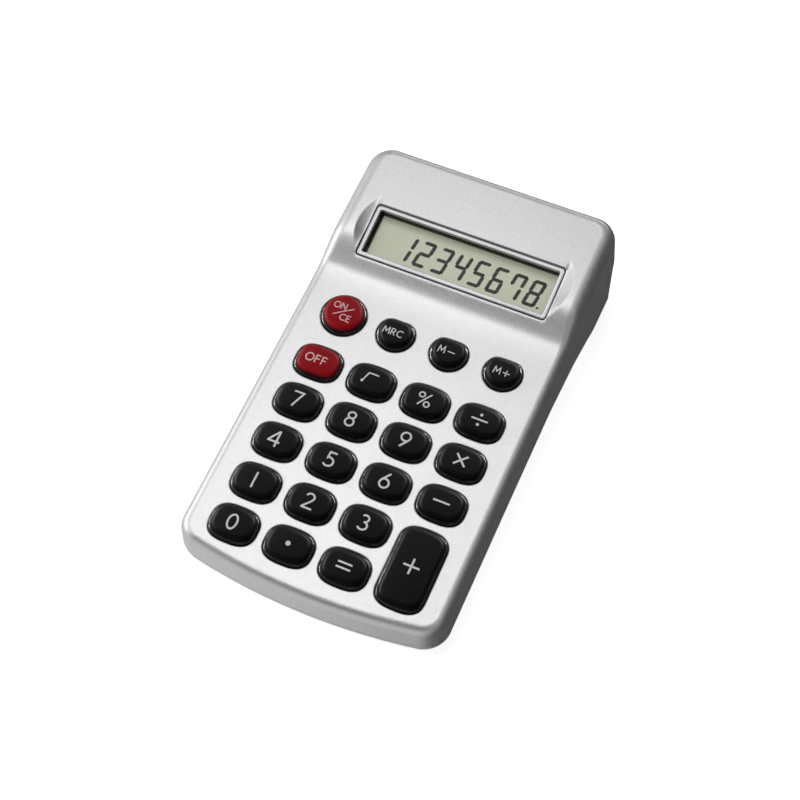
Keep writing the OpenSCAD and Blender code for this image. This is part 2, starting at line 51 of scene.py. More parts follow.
worldPlace = Matrix.Identity(4)
deckPlace = Matrix.Translation((0, deck["y"], deck["z"])) @ Matrix.Rotation(radians(deck["tilt"]), 4, "X")
displayTurn = Matrix.Rotation(radians(display["tilt"]), 4, "X")
displayPlace = deckPlace @ Matrix.Translation((0, display["y"], display["z"])) @ displayTurn


# Mesh helpers

def gather(parts):  # joins (points, faces) pairs into one
    points, faces = [], []
    for p, f in parts:
        base = len(points)
        points.extend(tuple(q) for q in p)
        faces.extend(tuple(i + base for i in face) for face in f)
    return points, faces


def addMesh(name, points, faces, place, finish, sharp=38, mergeAt=1e-6):
    mesh = bpy.data.meshes.new(name)
    mesh.from_pydata([tuple(p) for p in points], [], [tuple(f) for f in faces])
    mesh.transform(toMetres @ place)
    bm = bmesh.new()
    bm.from_mesh(mesh)
    bmesh.ops.remove_doubles(bm, verts=bm.verts, dist=mergeAt)
    bmesh.ops.recalc_face_normals(bm, faces=bm.faces)
    bm.to_mesh(mesh)
    bm.free()
    mesh.materials.append(finish)
    mesh.polygons.foreach_set("use_smooth", [True] * len(mesh.polygons))
    mesh.set_sharp_from_angle(angle=radians(sharp))
    piece = bpy.data.objects.new(name, mesh)
    bpy.context.scene.collection.objects.link(piece)
    return piece


def stitch(rows):  # quads between closed rows of equal length
    n = len(rows[0])
    faces = []
    for r in range(len(rows) - 1):
        a, b = r * n, (r + 1) * n
        for i in range(n):
            j = (i + 1) % n
            faces.append((a + i, a + j, b + j, b + i))
    return faces


def inside(points, ring):  # which points lie in a closed ring
    x, y = points[:, 0], points[:, 1]
    odd = np.zeros(len(points), bool)
    for (x0, y0), (x1, y1) in zip(ring, np.roll(ring, -1, axis=0)):
        if y0 != y1:
            hit = ((y0 > y) != (y1 > y)) & (x < (x1 - x0) * (y - y0) / (y1 - y0) + x0)
            odd ^= hit
    return odd


def nearRing(points, ring, reach):  # which points lie closer than reach to the ring
    close = np.zeros(len(points), bool)
    for p, q in zip(ring, np.roll(ring, -1, axis=0)):
        d = q - p
        size = float(d @ d)
        if size < 1e-12:
            continue
        t = np.clip(((points - p) @ d) / size, 0, 1)
        close |= np.hypot(*(points - p - t[:, None] * d).T) < reach
    return close


def fillRings(outer, holes, extra, gap=0.3):
    # triangles between an outer ring, some holes and loose points: (plan points, faces)
    rings = [np.asarray(outer, float)] + [np.asarray(h, float) for h in holes]
    extra = np.asarray(extra, float).reshape(-1, 2)
    if len(extra):
        keep = inside(extra, rings[0]) & ~nearRing(extra, rings[0], gap)
        for h in rings[1:]:
            low, high = h.min(0) - gap, h.max(0) + gap
            box = ((extra > low) & (extra < high)).all(1)
            if box.any():
                bad = np.zeros(len(extra), bool)
                bad[box] = inside(extra[box], h) | nearRing(extra[box], h, gap)
                keep &= ~bad
        extra = extra[keep]
    plan = np.concatenate(rings + [extra])
    edges, at = [], 0
    for r in rings:
        edges += [(at + i, at + (i + 1) % len(r)) for i in range(len(r))]
        at += len(r)
    found = delaunay_2d_cdt([Vector(p) for p in plan], edges, [], 0, 1e-7)
    made = np.array([tuple(v) for v in found[0]])
    faces = np.array([f for f in found[2] if len(f) == 3])
    middle = made[faces].mean(1)
    keep = inside(middle, rings[0])
    for h in rings[1:]:
        keep &= ~inside(middle, h)
    faces = faces[keep]
    a, b, c = made[faces[:, 0]], made[faces[:, 1]], made[faces[:, 2]]
    turn = (b[:, 0] - a[:, 0]) * (c[:, 1] - a[:, 1]) - (b[:, 1] - a[:, 1]) * (c[:, 0] - a[:, 0])
    faces = faces[np.abs(turn) > 1e-9]
    turn = turn[np.abs(turn) > 1e-9]
    faces[turn < 0] = faces[turn < 0][:, ::-1]
    return made, faces


def smooth(a, b, x):
    t = np.clip((np.asarray(x, float) - a) / (b - a), 0, 1)
    return t * t * (3 - 2 * t)


def softMax(a, b, k):
    return (a + b + np.sqrt((a - b) ** 2 + k * k)) / 2


def softMin(a, b, k):
    return (a + b - np.sqrt((a - b) ** 2 + k * k)) / 2


def offsetRing(ring, amount):  # moves a smooth closed ring outward along its own normals
    ring = np.asarray(ring, float)
    ahead = np.roll(ring, -1, axis=0)
    behind = np.roll(ring, 1, axis=0)
    way = ahead - behind
    way /= np.maximum(np.hypot(way[:, 0], way[:, 1]), 1e-9)[:, None]
    out = np.stack([way[:, 1], -way[:, 0]], 1)
    return ring + out * np.asarray(amount).reshape(-1, 1)


# Node helpers for the materials

def newFinish(name):
    finish = bpy.data.materials.new(name)
    finish.use_nodes = True
    tree = finish.node_tree
    shader = tree.nodes["Principled BSDF"]
    return finish, tree, shader


def node(tree, kind, inputs=None, **settings):
    made = tree.nodes.new("ShaderNode" + kind)
    for key, value in settings.items():
        setattr(made, key, value)
    for key, value in (inputs or {}).items():
        if isinstance(value, bpy.types.NodeSocket):
            tree.links.new(value, made.inputs[key])
        else:
            made.inputs[key].default_value = value
    return made


def coords(tree):
    return node(tree, "TexCoord").outputs["Object"]


def mixColours(tree, factor, dark, light):
    made = tree.nodes.new("ShaderNodeMix")
    made.data_type = "RGBA"
    for socket, value in ((0, factor), (6, dark), (7, light)):
        if isinstance(value, bpy.types.NodeSocket):
            tree.links.new(value, made.inputs[socket])
        elif socket:
            made.inputs[socket].default_value = (*value, 1)
        else:
            made.inputs[0].default_value = value
    return made.outputs[2]


def spread(tree, value, low, high, fromLow=0.0, fromHigh=1.0):
    made = node(tree, "MapRange", {0: value, 1: fromLow, 2: fromHigh, 3: low, 4: high})
    return made.outputs[0]


def noise(tree, scale, detail=3, rough=0.5, where=None):
    made = node(tree, "TexNoise", {"Scale": scale, "Detail": detail, "Roughness": rough})
    tree.links.new(where or coords(tree), made.inputs["Vector"])
    return made.outputs["Fac"]


def bump(tree, height, strength, distance, under=None):
    made = node(tree, "Bump", {"Strength": strength, "Distance": distance, "Height": height})
    if under:
        tree.links.new(under, made.inputs["Normal"])
    return made.outputs["Normal"]


mould = {"roughSpread": 0.06, "grainStrength": 0.3}


# A moulded or painted surface: two close colours, a fine grain and a broad unevenness
def moulded(name, dark, light, rough, grain=2200, grainDepth=0.00002, blotch=60, metallic=0.0):
    finish, tree, shader = newFinish(name)
    fine = noise(tree, grain, 4, 0.6)
    broad = noise(tree, blotch, 2, 0.5)
    both = node(tree, "Math", {0: fine, 1: broad}, operation="MULTIPLY").outputs[0]
    tree.links.new(mixColours(tree, spread(tree, both, 0, 1, 0.12, 0.42), dark, light), shader.inputs["Base Color"])
    roughest, smoothest = rough + mould["roughSpread"], rough - mould["roughSpread"]
    tree.links.new(spread(tree, fine, smoothest, roughest, 0.3, 0.7), shader.inputs["Roughness"])
    tree.links.new(bump(tree, fine, mould["grainStrength"], grainDepth), shader.inputs["Normal"])
    shader.inputs["Metallic"].default_value = metallic
    return finish


# Case outline in plan: the right half from the front's middle to the rear's middle, then mirrored

case = {
    "halfWidth": 31.3, "front": 31.36, "rear": 81.0, "parting": -7.0, "seam": 0.4, "wall": 1.6,
    "frontArc": 146.0, "frontCorner": 6.0, "rearCorner": 6.5,
    "frontDraft": 0.125, "sideDraft": 0.06, "headDraft": 0.045, "rearDraft": 0.15,
    "frontShoulder": 2.1, "sideShoulder": 2.3, "headShoulder": 3.3, "rearShoulder": 2.3,
    "edgeBreak": 0.12, "topInset": 0.2,
}
head = {
    "rise": 46.0, "slope": 0.5, "foot": 0.7, "crown": 0.9, "top": 3.98, "topLean": 0.014,
    "bowX": 13.1, "bowY": 58.0, "bowRadius": 13.0, "chord": 23.6, "chordIn": 0.5, "chordOut": 0.3, "behind": 6.75,
    "dip": 2.7, "dipGain": 1.35, "dipEase": 0.35, "rampFrom": 6, "rampTo": 1.5, "leanFrom": 57,
}


def halfOutline():  # x, y, outward normal, and how much a point belongs to the front, side and rear
    w, arc, r = case["halfWidth"], case["frontArc"], case["frontCorner"]
    arcY = arc - case["front"]
    cornerX = w - r
    lean = asin(cornerX / (arc - r))
    cornerY = arcY - (arc - r) * cos(lean)
    rows = []
    for i in range(26):
        a = lean * i / 26
        rows.append((arc * sin(a), arcY - arc * cos(a), sin(a), -cos(a), 1, 0, 0))
    for i in range(17):
        u = i / 17
        a = lean + (pi / 2 - lean) * u
        rows.append((cornerX + r * sin(a), cornerY - r * cos(a), sin(a), -cos(a), 1 - u, u, 0))
    rearR = case["rearCorner"]
    y, end = cornerY, case["rear"] - rearR
    while y < end - 0.3:
        rows.append((w, y, 1, 0, 0, 1, 0))
        y += 0.5 if 42 < y < 62 else 1.0
    for i in range(15):
        u = i / 14
        a = u * pi / 2
        rows.append((w - rearR + rearR * cos(a), end + rearR * sin(a), cos(a), sin(a), 0, 1 - u, u))
    for i in range(1, 25):
        rows.append(((w - rearR) * (1 - i / 24), case["rear"], 0, 1, 0, 0, 1))
    return np.array(rows)


def caseOutline():
    half = halfOutline()
    other = half[1:-1][::-1] * np.array([-1, 1, -1, 1, 1, 1, 1])
    return np.concatenate([half, other])


outline = caseOutline()
outlinePlan, outlineNormal = outline[:, 0:2], outline[:, 2:4]
frontShare, sideShare, rearShare = outline[:, 4], outline[:, 5], outline[:, 6]
headShare = smooth(44, 56, outlinePlan[:, 1])


def shares(front, side, rear):
    return frontShare * front + sideShare * side + rearShare * rear


def displayPlane(y):  # height of the shallow floor around the display frame
    t = radians(display["tilt"])
    return display["z"] - 0.1 + (y - display["y"]) * sin(t) / cos(t)


def deckHeight(x, y):  # top surface of the case above the keypad face
    x, y = np.abs(np.asarray(x, float)), np.asarray(y, float)
    ramp = softMax(0.0, head["slope"] * (y - head["rise"]), head["foot"])
    ramp = ramp * smooth(head["rise"] - head["rampFrom"], head["rise"] - head["rampTo"], y)
    top = head["top"] + head["topLean"] * (y - head["leanFrom"])
    high = softMin(ramp, top, head["crown"])
    high = high - softMin(0.0, top, head["crown"])
    high = np.where(y < head["rise"] - head["rampFrom"], 0, high)
    drop = np.where(y > head["rise"], np.maximum(high - displayPlane(y), 0), 0)
    depth = head["bowRadius"] - np.hypot(x - head["bowX"], y - head["bowY"])
    share = np.clip(depth / head["dip"], 0, 1)
    dent = share * (head["dipGain"] - head["dipEase"] * share)
    past = smooth(head["chord"] - head["chordIn"], head["chord"] + head["chordOut"], x)
    behind = y > display["y"] + head["behind"]
    dent = np.where(behind, dent * past, dent)
    dent = np.where((x < head["chord"]) & ~behind, 1, dent)
    return high - drop * dent


def shoulderRings():  # the upper half's outside, from the seam up to the top surface
    shoulder = shares(case["frontShoulder"],
                      case["sideShoulder"] + (case["headShoulder"] - case["sideShoulder"]) * headShare,
                      case["rearShoulder"])
    draft = shares(case["frontDraft"],
                   case["sideDraft"] + (case["headDraft"] - case["sideDraft"]) * headShare,
                   case["rearDraft"])
    low = case["parting"] + case["seam"]

    def ring(away, z=None, below=0.0):
        plan = outlinePlan - outlineNormal * np.asarray(away).reshape(-1, 1)
        height = deckHeight(plan[:, 0], plan[:, 1]) - below if z is None else np.broadcast_to(z, len(plan))
        return np.column_stack([plan, height])

    start = ring(draft * 7)[:, 2] - shoulder
    rows = [ring(case["edgeBreak"], low), ring(0.0, low + case["edgeBreak"])]
    for v in (0.25, 0.5, 0.75):
        z = low + case["edgeBreak"] + (start - low) * v
        rows.append(ring(draft * (z - low), z))
    for i in range(8):
        a = i / 7 * pi / 2
        away = draft * (start - low) + shoulder * (1 - cos(a))
        rows.append(ring(away, None, shoulder * (1 - sin(a))))
    away = draft * (start - low) + shoulder
    edgeAway = away + case["topInset"]
    rows.append(ring(edgeAway))
    return rows, edgeAway


def insideRings(edgeAway):  # the upper half's inside wall, from the top surface's edge down to the seam
    wall = case["wall"]
    low = case["parting"] + case["seam"]

    def ring(away, below):
        plan = outlinePlan - outlineNormal * np.asarray(away).reshape(-1, 1)
        return np.column_stack([plan, deckHeight(plan[:, 0], plan[:, 1]) - below])

    rows = [ring(edgeAway, wall), ring(edgeAway * 0.6 + wall * 0.4, wall + 0.25), ring(wall + 0.35, wall + 1.1)]
    bottom = ring(wall, 0)
    bottom[:, 2] = low
    rows.append(bottom)
    return rows


# Key outlines

keyLayout = {"column": 13.0, "row": 10.65, "topRow": 34.7, "onX": -19.4}
keySizes = {
    "halfWidth": 5.3, "halfLength": 4.1, "power": 2.9, "onRadius": 5.1, "memoryRadius": 4.3, "memoryFlat": 3.4,
    "flatPower": 14, "plusHalfLength": 9.43, "gap": 0.25, "points": 72, "plusPoints": 108,
}
keyColumns = [keyLayout["column"] * (i - 1.5) for i in range(4)]
keyRows = [keyLayout["row"] * (2 - i) for i in range(5)]
keyGrid = (
    ("off", "root", "percent", "divide"), ("7", "8", "9", "multiply"), ("4", "5", "6", "minus"),
    ("1", "2", "3"), ("0", "point", "equals"),
)
keyPlan = {"on_ce": ("round", keyLayout["onX"], keyLayout["topRow"])}
for name, x in zip(("mrc", "m_minus", "m_plus"), keyColumns[1:]):
    keyPlan[name] = ("flat", x, keyLayout["topRow"])
for names, y in zip(keyGrid, keyRows):
    for name, x in zip(names, keyColumns):
        keyPlan[name] = ("barrel", x, y)
keyPlan["plus"] = ("tall", keyColumns[3], (keyRows[3] + keyRows[4]) / 2)


def even(points, count):  # a closed ring resampled to equal steps
    points = np.asarray(points, float)
    around = np.concatenate([points, points[:1]])
    step = np.hypot(*np.diff(around, axis=0).T)
    at = np.concatenate([[0], np.cumsum(step)])
    want = np.arange(count) / count * at[-1]
    return np.column_stack([np.interp(want, at, around[:, i]) for i in (0, 1)])


def keyRing(shape, grow=0.0):
    fine = 720
    turn = np.arange(fine) / fine * 2 * pi
    c, s = np.cos(turn), np.sin(turn)
    if shape == "round":
        ring = np.column_stack([c, s]) * keySizes["onRadius"]
    elif shape == "flat":
        # a round key cut flat on the display's side, with the cut's corners rounded
        r, flat, n = keySizes["memoryRadius"], keySizes["memoryFlat"], keySizes["flatPower"]
        reach = 1 / ((np.abs(1 / r)) ** n + (np.maximum(s, 0) / flat) ** n) ** (1 / n)
        ring = np.column_stack([c, s]) * np.minimum(reach, r)[:, None]
        soften = np.ones(31) / 31
        ring = np.column_stack([np.convolve(np.tile(ring[:, i], 3), soften, "same")[fine:2 * fine] for i in (0, 1)])
    else:
        n = keySizes["power"]
        a, b = keySizes["halfWidth"], keySizes["halfLength"]
        reach = (np.abs(c / a) ** n + np.abs(s / b) ** n) ** (-1 / n)
        ring = np.column_stack([c, s]) * reach[:, None]
        if shape == "tall":
            ring[:, 1] += np.sign(ring[:, 1]) * (keySizes["plusHalfLength"] - b)
    ring = even(ring, keySizes["plusPoints" if shape == "tall" else "points"])
    return offsetRing(ring, grow) if grow else ring


def keyHole(key, grow):
    shape, x, y = keyPlan[key]
    return keyRing(shape, keySizes["gap"] + grow) + np.array([x, y])


# Upper half of the case

frameSizes = {"width": 46.8, "length": 13.6, "corner": 0.9, "border": 1.0, "gap": 0.1, "holeEdge": 0.16, "fit": 0.16}
keyHoleEdge = 0.28
roundSteps = (0, pi / 6, pi / 3, pi / 2)  # turns of a rounded hole edge


def roundedRing(w, l, r, steps=6):  # a rounded rectangle about the origin, counterclockwise
    ring = []
    for qx, qy, a0 in ((1, -1, -90), (1, 1, 0), (-1, 1, 90), (-1, -1, 180)):
        for i in range(steps + 1):
            a = radians(a0 + 90 * i / steps)
            ring.append((qx * (w / 2 - r) + r * cos(a), qy * (l / 2 - r) + r * sin(a)))
    return np.array(ring)


def split(ring, longest):  # adds points so that no side is longer than this
    out = []
    for p, q in zip(ring, np.roll(ring, -1, axis=0)):
        n = max(1, int(np.ceil(np.hypot(*(q - p)) / longest)))
        out += [p + (q - p) * i / n for i in range(n)]
    return np.array(out)


def onDisplay(ring):  # plan points of the display frame, seen from the keypad frame
    return np.column_stack([ring[:, 0], display["y"] + ring[:, 1] * cos(radians(display["tilt"]))])


# Loose points in the top surface: from, to and step along the case, then reach and step across it
topSpacing = {"display": (40, 64, 0.6, 30, 1.1), "rear": (64.5, 80, 1.5, 30, 1.5), "keypad": (-29, 40, 2.5, 28, 2.5)}
hollowEdge = {"around": (-0.6, -0.25, 0.0, 0.25, 0.5, 0.8, 1.1, 1.45, 1.8), "sweep": 42, "step": 1.6, "short": 0.4}
jitter = 0.04


def topGrid():  # finer at the display, finest round its hollow
    extra = []
    for start, end, step, reach, apart in topSpacing.values():
        extra += [(x, y) for y in np.arange(start, end, step) for x in np.arange(-reach, reach + 0.1, apart)]
    sweep = hollowEdge["sweep"]
    for side in (-1, 1):
        for away in hollowEdge["around"]:
            r = head["bowRadius"] - away
            for a in np.radians(np.arange(-sweep, sweep + 0.1, hollowEdge["step"])):
                x, y = head["bowX"] + r * cos(a), head["bowY"] + r * sin(a)
                if x > head["chord"] - hollowEdge["short"]:
                    extra.append((side * x, y))
    extra = np.array(extra)
    return extra + np.random.default_rng(7).uniform(-jitter, jitter, extra.shape)


def makeUpperCase(finish):
    outside, edgeAway = shoulderRings()
    within = insideRings(edgeAway)
    holes, profiles = [], []
    for key in keyPlan:
        holes.append(keyHole(key, keyHoleEdge + 0.12))
        profiles.append([keyHole(key, keyHoleEdge * (1 - sin(a))) for a in roundSteps] + [keyHole(key, 0)])
    w, l, c, g = frameSizes["width"], frameSizes["length"], frameSizes["corner"], frameSizes["gap"]
    flat = split(roundedRing(w + 2 * g, l + 2 * g, c), 0.7)
    edge = frameSizes["holeEdge"]
    holes.append(onDisplay(offsetRing(flat, edge + 0.1)))
    profiles.append([onDisplay(offsetRing(flat, edge * (1 - sin(a)))) for a in roundSteps] + [onDisplay(flat)])

    plan, faces = fillRings(outside[-1][:, :2], holes, topGrid())
    height = deckHeight(plan[:, 0], plan[:, 1])
    top = np.column_stack([plan, height])
    under = np.column_stack([plan, height - case["wall"]])
    parts = [(np.concatenate(outside), stitch(outside)), (top, faces), (under, faces[:, ::-1]),
             (np.concatenate(within), stitch(within))]
    rim = [outside[0], within[-1]]
    parts.append((np.concatenate(rim), [f[::-1] for f in stitch(rim)]))
    for n, (hole, profile) in enumerate(zip(holes, profiles)):
        z = deckHeight(hole[:, 0], hole[:, 1])
        depth = keyHoleEdge if n < len(keyPlan) else edge
        drops = [depth * (1 - cos(a)) for a in roundSteps] + [case["wall"]]
        wall = [np.column_stack([hole, z])]
        wall += [np.column_stack([ring, z - drop]) for ring, drop in zip(profile, drops)]
        wall.append(np.column_stack([hole, z - case["wall"]]))
        parts.append((np.concatenate(wall), stitch(wall)))
    points, faces = gather(parts)
    piece = addMesh("upperShell", points, faces, deckPlace, finish, sharp=50)
    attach(piece, "case")
    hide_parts("upper_case")
    return piece


# Lower half of the case

belly = {  # underside of the case: places along it and depth below the keypad face
    "along": (-31.4, -29.4, 10.6, 35.0, 49.8, 60.8, 63.8, 82.0),
    "depth": (8.6, 8.95, 10.0, 11.1, 14.4, 19.1, 21.0, 23.24),
    "soften": 1.6,
    "frontIn": 1.2, "sideIn": 1.5, "rearIn": 5.0, "frontUp": 0.9, "sideUp": 1.5, "rearUp": 7.0,
    "frontSlope": 0.1, "sideSlope": 0.0, "rearSlope": 0.14, "cornerTuck": 0.5,
}
rimSizes = {"lipIn": 0.35, "lipThick": 0.9, "lipUp": 0.9, "lipFoot": 0.4, "wallFoot": 0.8}
doorSizes = {
    "width": 54.6, "flange": 58.0, "low": 0.3, "thick": 1.6, "flangeThick": 0.8, "gap": 0.2, "edge": 0.35,
    "corner": 0.8, "bars": 7, "barPitch": 1.5, "barFrom": 5, "barNarrow": 0.03,
}
screwSpots = [(-27.2, 43.2), (27.2, 43.2), (0.0, -27.7)]
screwDepth = {"front": 7.6, "rear": 10.0}
screwPost = {"radius": 2.7, "below": 1.0, "top": -6.2, "well": 2.0, "wellFrom": -30}


def bellyHeight(y):
    around = np.linspace(-belly["soften"], belly["soften"], 9)
    y = np.asarray(y, float)
    return -np.mean([np.interp(y + s, belly["along"], belly["depth"]) for s in around], axis=0)


def bellyRings(shrink):  # outside of the lower half from the seam down, or its inside when shrunk
    inward = shares(belly["frontIn"], belly["sideIn"], belly["rearIn"])
    upward = shares(belly["frontUp"], belly["sideUp"], belly["rearUp"])
    slope = shares(belly["frontSlope"], belly["sideSlope"], belly["rearSlope"])
    slope = slope + belly["cornerTuck"] * frontShare * sideShare
    end = outlinePlan - outlineNormal * (inward + shrink)[:, None]
    low = bellyHeight(end[:, 1]) + shrink
    upward = np.minimum(upward, (case["parting"] - low) * 0.85)
    straight = case["parting"] - low - upward
    rows = []

    def ring(away, z):
        plan = outlinePlan - outlineNormal * (away + shrink)[:, None]
        return np.column_stack([plan, z])

    if not shrink:
        rows.append(ring(np.full(len(low), case["edgeBreak"]), np.full(len(low), case["parting"])))
    else:
        rows.append(ring(np.zeros(len(low)), np.full(len(low), case["parting"])))
    for v in (0.03, 0.35, 0.7, 1.0):
        z = case["parting"] - straight * v
        if v == 0.03 and not shrink:
            z = np.full(len(low), case["parting"] - case["edgeBreak"])
        rows.append(ring(slope * (case["parting"] - z), z))
    lean = slope * straight
    for i in range(1, 9):
        a = i / 8 * pi / 2
        rows.append(ring(lean + (inward - lean) * (1 - cos(a)), low + upward * (1 - sin(a))))
    return rows


def boxMesh(x0, x1, y0, y1, z0, z1):
    points = [(x, y, z) for z in (z0, z1) for y in (y0, y1) for x in (x0, x1)]
    faces = [(0, 2, 3, 1), (4, 5, 7, 6), (0, 1, 5, 4), (2, 6, 7, 3), (0, 4, 6, 2), (1, 3, 7, 5)]
    return points, faces


def tubeMesh(x, y, rows, count=48):  # a closed turned solid about an upright axis: rows of (radius, height)
    turn = np.arange(count) / count * 2 * pi
    rings = [np.column_stack([x + r * np.cos(turn), y + r * np.sin(turn), np.full(count, z)]) for r, z in rows]
    points = np.concatenate(rings)
    faces = stitch(rings)
    last = (len(rows) - 1) * count
    return points, faces + [tuple(range(count - 1, -1, -1)), tuple(range(last, last + count))]


def cut(piece, tool, how="DIFFERENCE"):
    modifier = piece.modifiers.new("cut", "BOOLEAN")
    modifier.object = tool
    modifier.operation = how
    modifier.solver = "MANIFOLD"
    bpy.context.view_layer.update()
    result = bpy.data.meshes.new_from_object(piece.evaluated_get(bpy.context.evaluated_depsgraph_get()))
    piece.modifiers.clear()
    old = piece.data
    piece.data = result
    result.name = old.name
    bpy.data.objects.remove(tool)
    return piece


def footSpots():
    low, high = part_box("rubber_feet")
    y = (low.y + high.y) / 2 / mm
    r = (high.y - low.y) / 2 / mm
    return [(side * (high.x / mm - r), y) for side in (-1, 1)], r


def makeLowerCase(finish):
    wall = case["wall"]
    outer, inner = bellyRings(0), bellyRings(wall)
    grid = [(x, y) for y in np.arange(-30, 77, 1.5) for x in np.arange(-30, 30.1, 3)]
    grid = np.array(grid) + np.random.default_rng(3).uniform(-0.05, 0.05, (len(grid), 2))
    parts = [(np.concatenate(outer), stitch(outer)), (np.concatenate(inner), stitch(inner))]
    for rings, lift in ((outer, 0), (inner, wall)):
        plan, faces = fillRings(rings[-1][:, :2], [], grid)
        z = bellyHeight(plan[:, 1]) + lift
        parts.append((np.column_stack([plan, z]), faces))
    # rim with a lip that stands up inside the upper half
    low, lipIn = case["parting"], wall + rimSizes["lipIn"]
    lipEnd = lipIn + rimSizes["lipThick"]

    def ring(away, z):
        return np.column_stack([outlinePlan - outlineNormal * away, np.full(len(outlinePlan), z)])

    lipTop = low + rimSizes["lipUp"]
    edge = [outer[0], ring(lipIn, low), ring(lipIn, lipTop), ring(lipEnd, lipTop),
            ring(lipEnd, low - rimSizes["lipFoot"]),
            ring(lipIn + rimSizes["lipThick"] * 0.5, low - rimSizes["wallFoot"]), inner[1]]
    parts[1] = (np.concatenate(inner[1:]), stitch(inner[1:]))
    parts.append((np.concatenate(edge), stitch(edge)))
    points, faces = gather(parts)
    piece = addMesh("lowerShell", points, faces, deckPlace, finish, sharp=40)

    y0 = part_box("battery_door")[0].y / mm - doorSizes["gap"]
    g, top = doorSizes["gap"], doorSizes["low"] + doorSizes["thick"]
    half, flange = doorSizes["width"] / 2 + g, doorSizes["flange"] / 2 + g
    tools = [boxMesh(-half, half, y0, 90, -3, top + g),
             boxMesh(-flange, flange, y0, 90, top, top + doorSizes["flangeThick"] + g)]
    spots, r = footSpots()
    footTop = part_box("rubber_feet")[1].z / mm + 0.02
    tools += [tubeMesh(x, y, ((r + 0.1, -3), (r + 0.1, footTop))) for x, y in spots]
    posts, wells = [], []
    for x, y in screwSpots:
        depth = screwDepth["front"] if y < 0 else screwDepth["rear"]
        post, well = screwPost["radius"], screwPost["well"]
        posts.append(tubeMesh(x, y, ((post, -depth - screwPost["below"]), (post, screwPost["top"])), 32))
        wells.append(tubeMesh(x, y, ((well, screwPost["wellFrom"]), (well, -depth)), 32))
    for p, f in posts:
        cut(piece, addMesh("tool", p, f, deckPlace, finish), "UNION")
    for p, f in wells:
        cut(piece, addMesh("tool", p, f, deckPlace, finish))
    for p, f in tools:
        cut(piece, addMesh("tool", p, f, worldPlace, finish))
    piece.data.polygons.foreach_set("use_smooth", [True] * len(piece.data.polygons))
    piece.data.set_sharp_from_angle(angle=radians(35))
    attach(piece, "case")
    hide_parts("lower_case")
    return piece


# Keys

cap = {
    "top": 1.9, "crown": 0.34, "edge": 1.15, "lean": 0.12, "inset": 0.02,
    "skirt": 0.06, "skirtEdge": 0.2, "step": 0.02, "bodyLow": 0.32,
    "flangeTop": -1.75, "flangeBottom": -2.65, "flange": 0.7,
}


def crownHeight(shape, x, y):  # height of a key's top surface at a place measured from its middle
    a = keySizes["halfWidth"] if shape in ("barrel", "tall") else keySizes["onRadius"]
    b = {"barrel": keySizes["halfLength"], "tall": keySizes["plusHalfLength"]}.get(shape, a)
    return cap["top"] - cap["crown"] * ((np.asarray(x) / a) ** 2 + (np.asarray(y) / b) ** 2)


def capRings(shape):
    def ring(grow, z=None, below=0.0):
        plan = keyRing(shape, grow)
        height = crownHeight(shape, plan[:, 0], plan[:, 1]) - below if z is None else np.full(len(plan), z)
        return np.column_stack([plan, height])

    edge, foot, soft = cap["edge"], -cap["inset"], cap["skirtEdge"]
    body = foot - soft - cap["step"]
    side = body - cap["lean"]
    rings = [ring(cap["flange"], cap["flangeBottom"]), ring(cap["flange"], cap["flangeTop"]),
             ring(foot, cap["flangeTop"])]
    for a in np.linspace(0, pi / 2, 5):
        rings.append(ring(foot - soft * (1 - cos(a)), cap["skirt"] + soft * sin(a)))
    rings.append(ring(body, cap["bodyLow"]))
    for i in range(9):
        a = i / 8 * pi / 2
        rings.append(ring(side - edge * (1 - cos(a)), None, edge * (1 - sin(a))))
    rings.append(ring(side - edge - 0.12))
    return rings


def makeKey(key, finish):
    shape, x, y = keyPlan[key]
    rings = capRings(shape)
    grid = [(u, v) for u in np.arange(-4.5, 4.6, 0.9) for v in np.arange(-9, 9.1, 0.9)]
    plan, faces = fillRings(rings[-1][:, :2], [], grid, 0.35)
    top = np.column_stack([plan, crownHeight(shape, plan[:, 0], plan[:, 1])])
    bottom = (rings[0], [tuple(range(len(rings[0]) - 1, -1, -1))])
    points, faces = gather([(np.concatenate(rings), stitch(rings)), (top, faces), bottom])
    piece = addMesh("cap_" + key, points, faces, deckPlace @ Matrix.Translation((x, y, 0)), finish, sharp=60)
    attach(piece, "key_" + key)
    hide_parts("key_" + key)
    return piece


# Printed legends, drawn as strokes of even width

legend = {"stroke": 0.44, "thin": 0.30, "small": 0.25, "sign": 0.42, "cross": 0.45, "proud": 0.015,
          "sunk": 0.08, "step": 0.35}


def line(*points):
    return [np.array(p, float) for p in points]


def arc(cx, cy, rx, ry, fromAngle, toAngle, steps=14):
    steps = max(4, int(steps * abs(toAngle - fromAngle) / 180) + 2)
    return [np.array((cx + rx * cos(radians(a)), cy + ry * sin(radians(a))))
            for a in np.linspace(fromAngle, toAngle, steps)]


